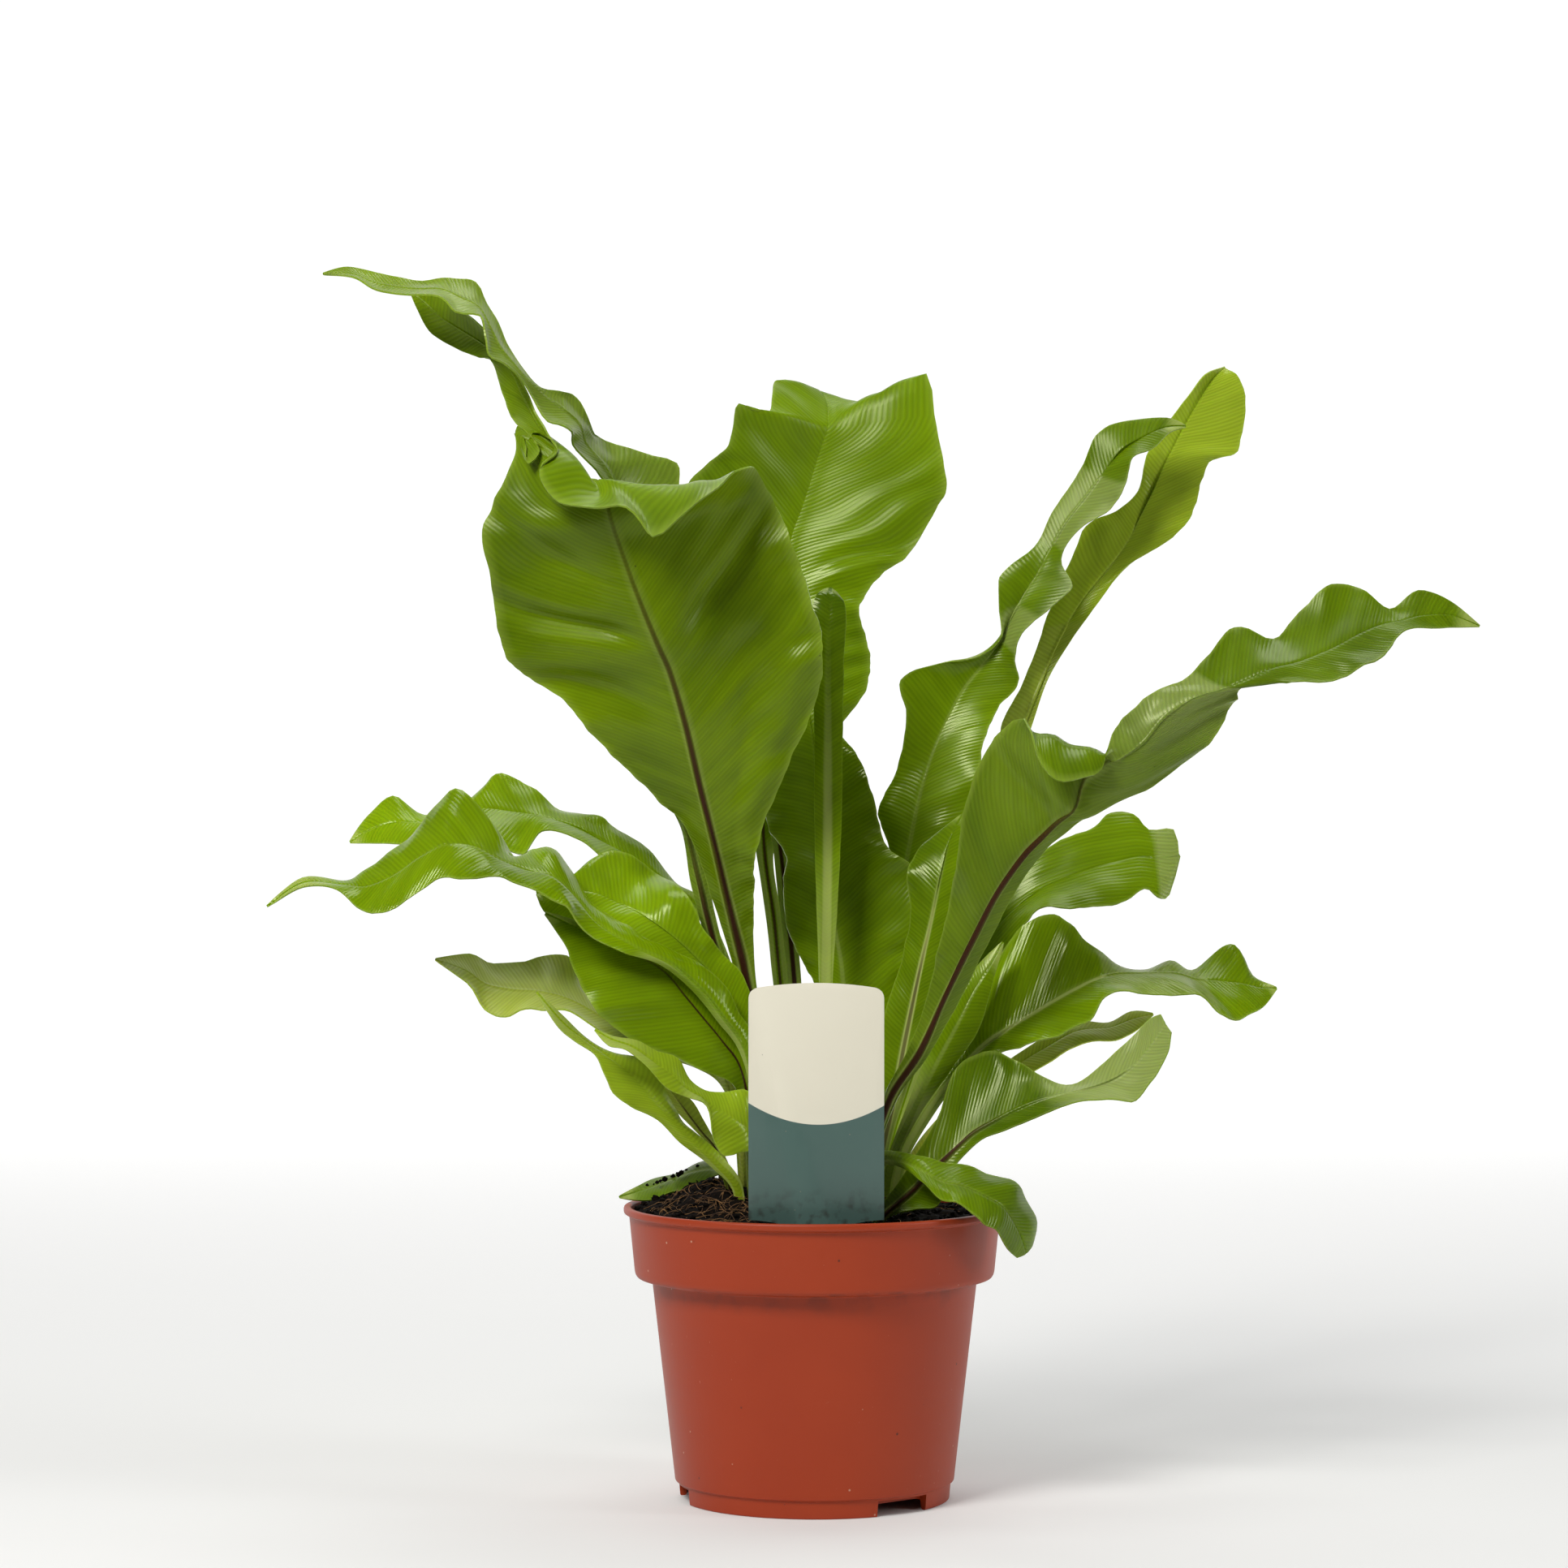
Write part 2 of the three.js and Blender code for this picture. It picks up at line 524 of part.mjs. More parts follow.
      [[-107, 203, -32], [-103, 204, -29], [-100, 203, -25]],
      [[-115, 210, -34], [-112, 211, -32], [-109, 211, -29]],
      [-124, 225, -36, 0.4],
    ],
  },
  frond_left_twisted: {
    face: -1,
    stations: [
      [-24, 122, -27, 2.2],
      [-25, 146, -31, 2.4],
      [[-30, 154, -36], [-30, 162, -34], [-27, 168, -31]],
      [[-40, 152, -40], [-35, 167, -36], [-30, 180, -31]],
      [[-45, 160, -42], [-42, 172, -38], [-40, 180, -32]],
      [[-48, 174, -42], [-50, 177, -39], [-49, 181, -35]],
      [[-57, 178, -42], [-57, 182, -40], [-56, 186, -36]],
      [[-66, 182, -45], [-64, 188, -41], [-61, 195, -36]],
      [[-75, 192, -45], [-72, 194, -42], [-70, 198, -38]],
      [[-84, 199, -45], [-81, 200, -43], [-79, 203, -40]],
      [[-92, 201, -45], [-91, 204, -43], [-90, 205, -41]],
      [-98, 208, -43, 0.4],
    ],
  },
  frond_left_brown_rib: {
    face: 1,
    stations: [
      [-37, 122, -9, 2],
      [-38, 140, -11, 2.2],
      [[-47, 156, -13], [-44, 154, -13], [-40, 152, -11]],
      [[-53, 163, -14], [-50, 162, -14], [-45, 160, -11]],
      [[-60, 170, -14], [-56, 170, -15], [-50, 169, -12]],
      [[-66, 178, -15], [-62, 178, -16], [-56, 178, -13]],
      [-70, 188, -16, 0.4],
    ],
  },
  frond_left_resting: {
    face: -1,
    stations: [
      [-37, 122, 13, 2],
      [-40, 141, 13, 2.2],
      [[-44, 143, 10], [-45, 145.5, 14], [-43, 148, 20]],
      [[-53, 143, 8], [-54, 147, 16], [-50, 150, 25]],
      [[-64, 139, 8], [-66, 141.5, 17], [-62, 143.5, 26]],
      [[-73, 135, 8], [-75, 138, 15], [-73, 141, 23]],
      [[-80, 134, 8], [-81, 135.5, 12], [-79, 138, 16]],
      [-87, 133.5, 8, 0.5],
    ],
  },
  frond_young_right: {
    face: -1,
    stations: [
      [26, 122, -5, 2.3],
      [29, 148, -7, 2.3],
      [35, 175, -8, 2.6],
      [[33, 205, -6], [41, 204, -9], [46, 206, -10]],
      [[38, 236, -4], [47, 232, -9], [53, 232, -13]],
      [[43, 256, -2], [53, 256, -7], [60, 256, -14]],
      [[42, 280, 0], [58, 278, -3], [66, 276, -12]],
      [[50, 291, 6], [62, 294, 1], [70, 292, -8]],
      [66, 304, 5, 0.5],
    ],
  },
  frond_right_small: {
    face: -1,
    stations: [
      [30, 122, -13, 2.2],
      [34, 148, -14, 2.2],
      [44, 172, -15, 2.6],
      [[49, 194, -14], [54, 192, -15], [59, 192, -15]],
      [[58, 214, -12], [64, 211, -13], [70, 209, -13]],
      [[67, 229, -9], [71, 225, -10], [75, 221, -11]],
      [[75, 239, -5], [78, 236, -7], [80, 231, -9]],
      [84, 247, -4, 0.5],
    ],
  },
  frond_rear_middle: {
    face: -1,
    stations: [
      [3, 122, 25, 2.4],
      [3, 148, 28, 2.5],
      [8, 190, 44, 3],
      [[2, 222, 62], [12, 222, 62], [22, 222, 60]],
      [[-4, 250, 84], [15, 250, 86], [34, 248, 80]],
      [[-4, 276, 108], [17, 278, 112], [36, 274, 104]],
      [[2, 300, 136], [17, 302, 140], [28, 298, 132]],
      [15, 318, 162, 0.6],
    ],
  },
  frond_rear_left: {
    face: -1,
    stations: [
      [-20, 122, 16, 2.4],
      [-24, 148, 20, 2.5],
      [-36, 186, 38, 2.8],
      [[-54, 204, 54], [-51, 210, 56], [-48, 216, 58]],
      [[-70, 212, 74], [-66, 224, 78], [-60, 236, 82]],
      [[-84, 222, 96], [-79, 236, 102], [-74, 250, 108]],
      [[-94, 236, 122], [-90, 246, 128], [-86, 256, 132]],
      [-98, 254, 146, 0.6],
    ],
  },
  frond_rear_right: {
    face: -1,
    stations: [
      [24, 122, 20, 2.4],
      [27, 144, 24, 2.5],
      [44, 180, 44, 2.8],
      [[56, 212, 64], [60, 206, 64], [64, 201, 62]],
      [[68, 232, 88], [74, 222, 88], [80, 212, 84]],
      [[80, 244, 114], [86, 234, 114], [92, 224, 108]],
      [[92, 250, 138], [96, 243, 138], [100, 236, 134]],
      [104, 249, 154, 0.6],
    ],
  },
};

// Moves a point from where it is seen on the plane y = 0 back along the line of sight to its depth.
function sighted([x, z, y]) {
  const reach = (y - EYE[1]) / -EYE[1];
  return new THREE.Vector3(
    EYE[0] + (x - EYE[0]) * reach,
    y,
    EYE[2] + (z - EYE[2]) * reach,
  );
}

// The five lines of a frond, each with one point a station: edge, between, rib, between, edge.
function fiveLines(stations, face) {
  const ribs = stations.map((s) => {
    if (!Array.isArray(s[0])) return [s[0], s[1], s[2]];
    return s.length === 3 ? s[1] : s[2];
  });
  return stations.map((s, i) => {
    const before = ribs[Math.max(i - 1, 0)];
    const after = ribs[Math.min(i + 1, ribs.length - 1)];
    if (!Array.isArray(s[0])) {
      const run = Math.hypot(after[0] - before[0], after[1] - before[1]);
      const dx = ((after[1] - before[1]) / run) * s[3];
      const dz = (-(after[0] - before[0]) / run) * s[3];
      s = [[s[0] - dx, s[1] - dz, s[2]], ribs[i], [s[0] + dx, s[1] + dz, s[2]]];
    }
    const points = s.map(sighted);
    if (points.length === 5) return points;
    const along = sighted(after).sub(sighted(before)).normalize();
    const [left, rib, right] = points;
    const up = along.clone().cross(right.clone().sub(left)).normalize().multiplyScalar(face);
    const between = (edge) =>
      edge.clone().add(rib).multiplyScalar(0.5).addScaledVector(up, BELLY * edge.distanceTo(rib));
    return [left, between(left), rib, between(right), right];
  });
}

function smooth(a, b, c, d, t) {
  const curve = (p, q, r, s) =>
    0.5 * (2 * q + (r - p) * t + (2 * p - 5 * q + 4 * r - s) * t * t + (3 * q - p - 3 * r + s) * t ** 3);
  return new THREE.Vector3(curve(a.x, b.x, c.x, d.x), curve(a.y, b.y, c.y, d.y), curve(a.z, b.z, c.z, d.z));
}

// Rows of five points down the frond, with one more between stations that lie far apart.
function rowsOf(lines) {
  const rows = [];
  const at = (i) => lines[Math.max(0, Math.min(lines.length - 1, i))];
  for (let i = 0; i < lines.length - 1; i++) {
    const steps = at(i)[2].distanceTo(at(i + 1)[2]) > LONG_STEP ? 2 : 1;
    for (let k = 0; k < steps; k++) {
      rows.push(at(i).map((p, c) => smooth(at(i - 1)[c], p, at(i + 1)[c], at(i + 2)[c], k / steps)));
    }
  }
  rows.push(at(lines.length - 1));
  return rows;
}

// A curve through edge, between and rib, at a share t of the way from the edge.
function across(edge, between, rib, t) {
  const bend = between.clone().multiplyScalar(2).addScaledVector(edge, -0.5).addScaledVector(rib, -0.5);
  return edge
    .clone()
    .multiplyScalar((1 - t) * (1 - t))
    .addScaledVector(bend, 2 * t * (1 - t))
    .addScaledVector(rib, t * t);
}

// The blade between its two faces, with the midrib raised on the lower side.
function frondGeometry(rows, face) {
  const last = rows.length - 1;
  const middle = rows.map(([left, inLeft, rib, inRight, right], i) => {
    const share = i / last;
    const ribHalf = THREE.MathUtils.lerp(1.9, 0.5, share);
    const leftShare = 1 - Math.min(0.4, ribHalf / left.distanceTo(rib));
    const rightShare = 1 - Math.min(0.4, ribHalf / right.distanceTo(rib));
    return [
      left,
      across(left, inLeft, rib, 0.45),
      across(left, inLeft, rib, leftShare),
      rib,
      across(right, inRight, rib, rightShare),
      across(right, inRight, rib, 0.45),
      right,
    ];
  });
  const wide = middle[0].length;
  const upper = [];
  const lower = [];
  middle.forEach((row, i) => {
    const share = i / last;
    const ribDeep = THREE.MathUtils.lerp(RIB_DEEP, RIB_FINE, Math.min(1, share * 1.3));
    row.forEach((point, c) => {
      const alongRow = middle[Math.min(i + 1, last)][c].clone().sub(middle[Math.max(i - 1, 0)][c]);
      const acrossRow = row[Math.min(c + 1, wide - 1)].clone().sub(row[Math.max(c - 1, 0)]);
      const normal = alongRow.cross(acrossRow).normalize().multiplyScalar(face);
      const deep = c === 3 ? ribDeep : 0;
      upper.push(point.clone().addScaledVector(normal, BLADE_THICK / 2));
      lower.push(point.clone().addScaledVector(normal, -BLADE_THICK / 2 - deep));
    });
  });
  const points = [...upper, ...lower];
  const count = upper.length;
  const faces = [];
  const quad = (a, b, c, d) => faces.push(a, b, c, a, c, d);
  for (let i = 0; i < last; i++) {
    for (let c = 0; c < wide - 1; c++) {
      const a = i * wide + c;
      const b = a + 1;
      const e = a + wide;
      const f = e + 1;
      quad(a, b, f, e);
      faces.push(count + a, count + f, count + b, count + a, count + e, count + f);
    }
    const l = i * wide;
    const r = l + wide - 1;
    quad(l, l + wide, count + l + wide, count + l);
    quad(r, count + r, count + r + wide, r + wide);
  }
  for (let c = 0; c < wide - 1; c++) {
    const t = last * wide + c;
    quad(c, count + c, count + c + 1, c + 1);
    quad(t, t + 1, count + t + 1, count + t);
  }
  if (face > 0) {
    for (let i = 0; i < faces.length; i += 3) {
      [faces[i + 1], faces[i + 2]] = [faces[i + 2], faces[i + 1]];
    }
  }
  const geometry = new THREE.BufferGeometry();
  const flat = points.flatMap((p) => [p.x, p.y, p.z]);
  geometry.setAttribute("position", new THREE.Float32BufferAttribute(flat, 3));
  geometry.setIndex(faces);
  geometry.computeVertexNormals();
  return geometry;
}

// A six-sided sleeve round the foot of a stem, to clear its hole in the rootstock and the peat.
function sleeve(rows, half) {
  const radius = (Math.max(half, RIB_DEEP + BLADE_THICK / 2) + GAP) / Math.cos(Math.PI / 6);
  const centres = [rows[0][2].clone().setZ(rows[0][2].z - 1), rows[0][2], rows[1][2], rows[2][2]];
  const places = [];
  for (const centre of centres) {
    for (let k = 0; k < 6; k++) {
      const turn = (k * Math.PI) / 3;
      places.push(centre.x + radius * Math.cos(turn), centre.y + radius * Math.sin(turn), centre.z);
    }
  }
  const faces = [];
  for (let ring = 0; ring < centres.length - 1; ring++) {
    for (let k = 0; k < 6; k++) {
      const a = ring * 6 + k;
      const b = ring * 6 + ((k + 1) % 6);
      faces.push(a, b, b + 6, a, b + 6, a + 6);
    }
  }
  const top = (centres.length - 1) * 6;
  for (let k = 1; k < 5; k++) {
    faces.push(0, k + 1, k, top, top + k, top + k + 1);
  }
  const geometry = new THREE.BufferGeometry();
  geometry.setAttribute("position", new THREE.Float32BufferAttribute(places, 3));
  geometry.setIndex(faces);
  return solid(geometry);
}

function pot() {
  const collarFoot = 98;
  const profile = [
    [0, 0],
    [PAD_RADIUS - 0.8, 0],
    [PAD_RADIUS, 0.8],
    [PAD_RADIUS + 0.6, 5],
    [FOOT_RADIUS - 3.6, 5],
    [FOOT_RADIUS - 2.8, 0.5],
    [FOOT_RADIUS - 2.3, 0],
    [FOOT_RADIUS - 0.6, 0],
    [FOOT_RADIUS, 0.6],
    [FOOT_RADIUS + 0.6, FOOT_HEIGHT - 0.4],
    [FOOT_RADIUS + 2, FOOT_HEIGHT + 0.4],
    [72.3, collarFoot - 0.6],
    [73.2, collarFoot + 0.2],
    [78.6, collarFoot + 1],
    [79.6, collarFoot + 1.8],
    [80, collarFoot + 3.4],
    [82.7, POT_HEIGHT - 3.6],
    [84.4, POT_HEIGHT - 3.2],
    [RIM_RADIUS, POT_HEIGHT - 2.3],
    [RIM_RADIUS, POT_HEIGHT - 1],
    [RIM_RADIUS - 0.8, POT_HEIGHT],
    [RIM_RADIUS - 2.2, POT_HEIGHT],
    [RIM_RADIUS - 3.4, POT_HEIGHT - 1.2],
    [78.5, collarFoot + 3],
    [77.4, collarFoot + 2.6],
    [71, collarFoot + 1.4],
    [60.4, FLOOR_TOP + 2.6],
    [58, FLOOR_TOP],
    [0, FLOOR_TOP],
  ];
  const turned = new THREE.LatheGeometry(profile.map(([r, z]) => new THREE.Vector2(r, z)), ROUND_STEPS);
  turned.rotateX(Math.PI / 2);
  let body = solid(turned);
  for (const turn of NOTCH_TURNS) {
    const notch = new THREE.BoxGeometry(10, NOTCH_WIDTH, NOTCH_HEIGHT * 2);
    notch.translate(FOOT_RADIUS, 0, 0);
    notch.rotateZ((turn * Math.PI) / 180);
    body = body.subtract(solid(notch));
  }
  return body;
}

// Height of the peat: a gentle mound with a heap on the left, roughened by slow waves.
function peatHeight(x, y) {
  const heap = PEAT_HEAP * Math.exp(-(((x + 46) / 26) ** 2) - ((y - 8) / 40) ** 2);
  const mound = 9 * Math.exp(-((x / 38) ** 2) - (y / 38) ** 2);
  const rough = 0.5 * Math.sin(x * 0.35 + y * 0.21) + 0.5 * Math.sin(y * 0.43 - x * 0.17);
  return PEAT_LEVEL + heap + mound + rough;
}

function peat() {
  const wall = [
    [58 - 2 * GAP, FLOOR_TOP + GAP],
    [60.4 - GAP, FLOOR_TOP + 3],
    [71 - 2 * GAP, 99.4],
    [77.4 - GAP, 101],
    [78.2 - GAP, 101.6],
  ];
  const topRings = [80.6, 68, 56, 44, 32, 16];
  const profile = [[0, FLOOR_TOP + GAP], ...wall, ...topRings.map((r) => [r, PEAT_LEVEL]), [0, PEAT_LEVEL]];
  const points = profile.map(([r, z]) => new THREE.Vector2(r, z));
  const turned = new THREE.LatheGeometry(points, 32);
  turned.rotateX(Math.PI / 2);
  const place = turned.getAttribute("position");
  for (let i = 0; i < place.count; i++) {
    if (place.getZ(i) > PEAT_LEVEL - 0.01) place.setZ(i, peatHeight(place.getX(i), place.getY(i)));
  }
  return solid(turned);
}

function rootstock(extra) {
  const profile = [
    [0, 116 - extra],
    [20 + extra, 116 - extra],
    [30 + extra, 122],
    [32 + extra, 132],
    [28 + extra, 140 + extra],
    [16 + extra, 145 + extra],
    [0, 147 + extra],
  ];
  const turned = new THREE.LatheGeometry(profile.map(([r, z]) => new THREE.Vector2(r, z)), 18);
  turned.rotateX(Math.PI / 2);
  return solid(turned);
}

// The card outline: a flat arch on top with rounded corners, straight sides and a pointed stake.
function label(extra) {
  const middle = (LABEL_LEFT + LABEL_RIGHT) / 2;
  const outline = new THREE.Shape();
  outline.moveTo(LABEL_LEFT - extra, LABEL_FOOT);
  outline.lineTo(LABEL_LEFT - extra, LABEL_TOP - 7);
  outline.quadraticCurveTo(LABEL_LEFT - extra, LABEL_TOP - 3, LABEL_LEFT + 4, LABEL_TOP - 2);
  outline.quadraticCurveTo(middle, LABEL_TOP + 2, LABEL_RIGHT - 4, LABEL_TOP - 2);
  outline.quadraticCurveTo(LABEL_RIGHT + extra, LABEL_TOP - 3, LABEL_RIGHT + extra, LABEL_TOP - 7);
  outline.lineTo(LABEL_RIGHT + extra, LABEL_FOOT);
  outline.quadraticCurveTo(middle + STAKE_HALF + 2, LABEL_FOOT - 1, middle + STAKE_HALF + extra, LABEL_FOOT - 8);
  outline.lineTo(middle + 2 + extra, STAKE_TIP - extra);
  outline.lineTo(middle - 2 - extra, STAKE_TIP - extra);
  outline.lineTo(middle - STAKE_HALF - extra, LABEL_FOOT - 8);
  outline.quadraticCurveTo(middle - STAKE_HALF - 2, LABEL_FOOT - 1, LABEL_LEFT - extra, LABEL_FOOT);
  const card = new THREE.ExtrudeGeometry(outline, {
    depth: LABEL_THICK + 2 * extra,
    bevelEnabled: false,
    curveSegments: 6,
  });
  card.rotateX(Math.PI / 2);
  card.translate(0, LABEL_Y + LABEL_THICK + extra, 0);
  return card;
}

let crownBody = rootstock(0);
let peatBody = peat().subtract(rootstock(GAP)).subtract(solid(label(GAP)));
for (const [name, { face, stations }] of Object.entries(FRONDS)) {
  const rows = rowsOf(fiveLines(stations, face));
  const hole = sleeve(rows, stations[0][3]);
  crownBody = crownBody.subtract(hole);
  peatBody = peatBody.subtract(hole);
  addNode(name, frondGeometry(rows, face), 0x5e8412, 0.4);
}
addNode("pot", geometryOf(pot()), 0x9a4129, 0.5);
addNode("soil", geometryOf(peatBody), 0x2e1c12, 0.95);
addNode("crown", geometryOf(crownBody), 0x4a3420, 0.9);
addNode("label", label(0), 0xe6e1cf, 0.35);

export default fern;
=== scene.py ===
"""Potted bird's nest fern: fine fronds, pot, peat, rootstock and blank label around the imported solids."""
import math
import random

import bpy
import numpy as np
from mathutils import Matrix, Vector, noise


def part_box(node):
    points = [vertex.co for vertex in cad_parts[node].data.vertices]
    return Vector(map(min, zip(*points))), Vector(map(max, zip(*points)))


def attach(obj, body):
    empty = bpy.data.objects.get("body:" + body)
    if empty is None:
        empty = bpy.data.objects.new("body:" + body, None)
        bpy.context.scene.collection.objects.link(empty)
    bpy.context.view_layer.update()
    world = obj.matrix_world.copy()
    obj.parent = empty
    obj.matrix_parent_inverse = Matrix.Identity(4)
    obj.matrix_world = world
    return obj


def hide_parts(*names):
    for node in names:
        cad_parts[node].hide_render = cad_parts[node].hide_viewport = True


bl_info = {
    "name": "Potted bird's nest fern",
    "version": (1, 0, 0),
    "blender": (4, 5, 0),
    "location": "3D View > Sidebar > Fern",
    "description": "Builds a bird's nest fern in a nursery pot, with a blank label and a studio floor",
    "category": "Add Mesh",
}

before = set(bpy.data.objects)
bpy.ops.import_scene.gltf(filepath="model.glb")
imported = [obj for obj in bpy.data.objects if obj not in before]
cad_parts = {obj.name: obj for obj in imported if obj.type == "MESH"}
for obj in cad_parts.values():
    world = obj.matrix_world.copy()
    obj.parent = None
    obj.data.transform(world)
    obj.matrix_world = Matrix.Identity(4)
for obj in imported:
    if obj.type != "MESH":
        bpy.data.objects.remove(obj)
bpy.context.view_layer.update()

MM = 0.001

# The eye that the frond outlines were read from, in millimetres, and the share of its view's half width.
EYE = (-13.6, -1900.0, 317.6)
VIEW_HALF = 0.1839

# Faces across half the midrib, and the largest share of the half blade's width that they take.
RIB_COLUMNS = 3
RIB_SHARE = 0.4

# How much of the blade beside the midrib is rounded over it: a distance in millimetres, or a share of the
# half blade's width where that is less.
ROUND_MOST = 7
ROUND_SHARE = 0.4

# Strength of the veins' relief in the leaf material. It fades where the midrib is pale.
VEIN_RELIEF = 0.42

# Lengths in millimetres of the waves that the left and the right half of a frond have: the pleats, measured
# along the veins' starts, and the ruffles and the uneven margin, measured along the midrib.
PLEATS = ((43, 27, 17), (39, 24, 15))
RUFFLES = ((44, 27, 16), (41, 25, 15))
NIBBLES = ((23, 13, 7.1), (21, 12, 6.7))

# Steps of a full turn in the spun pieces.
POT_STEPS = 176
PEAT_STEPS = 220
CROWN_STEPS = 96

# The notches in the pot's foot: where they are round the pot, in degrees, and the size of the box that cuts
# each, in millimetres.
NOTCH_TURNS = (-50, 70, 190)
NOTCH_BOX = (10, 28, 14)

# The peat: the flat top that is roughened, its level at the rim, how high the heap and the mound rise on
# it, and the radius that loose crumbs and fibres keep to, in millimetres.
PEAT_TOP = 126
PEAT_LEVEL = 125.5
PEAT_HEAP = 12.5
PEAT_MOUND = 9
PEAT_REACH = 79

# The middle of the label card's thickness, in millimetres.
LABEL_MIDDLE = -65.6

# A coir fibre starts within this radius, in millimetres, and runs in this many steps.
FIBRE_REACH = 74
FIBRE_STEPS = 6

# The papery scales of the rootstock: how many, and the radius that they keep to, in millimetres.
SCALES = 240
SCALE_REACH = 30

# The studio floor, in metres: where it starts in front, how far it runs, where its curve into the wall
# starts, and how wide it is.
FLOOR_FRONT = -0.7
FLOOR_RUN = 7.7
FLOOR_FLAT = 3.0
FLOOR_WIDTH = 12

# The camera's sensor, in millimetres.
SENSOR_WIDTH = 36

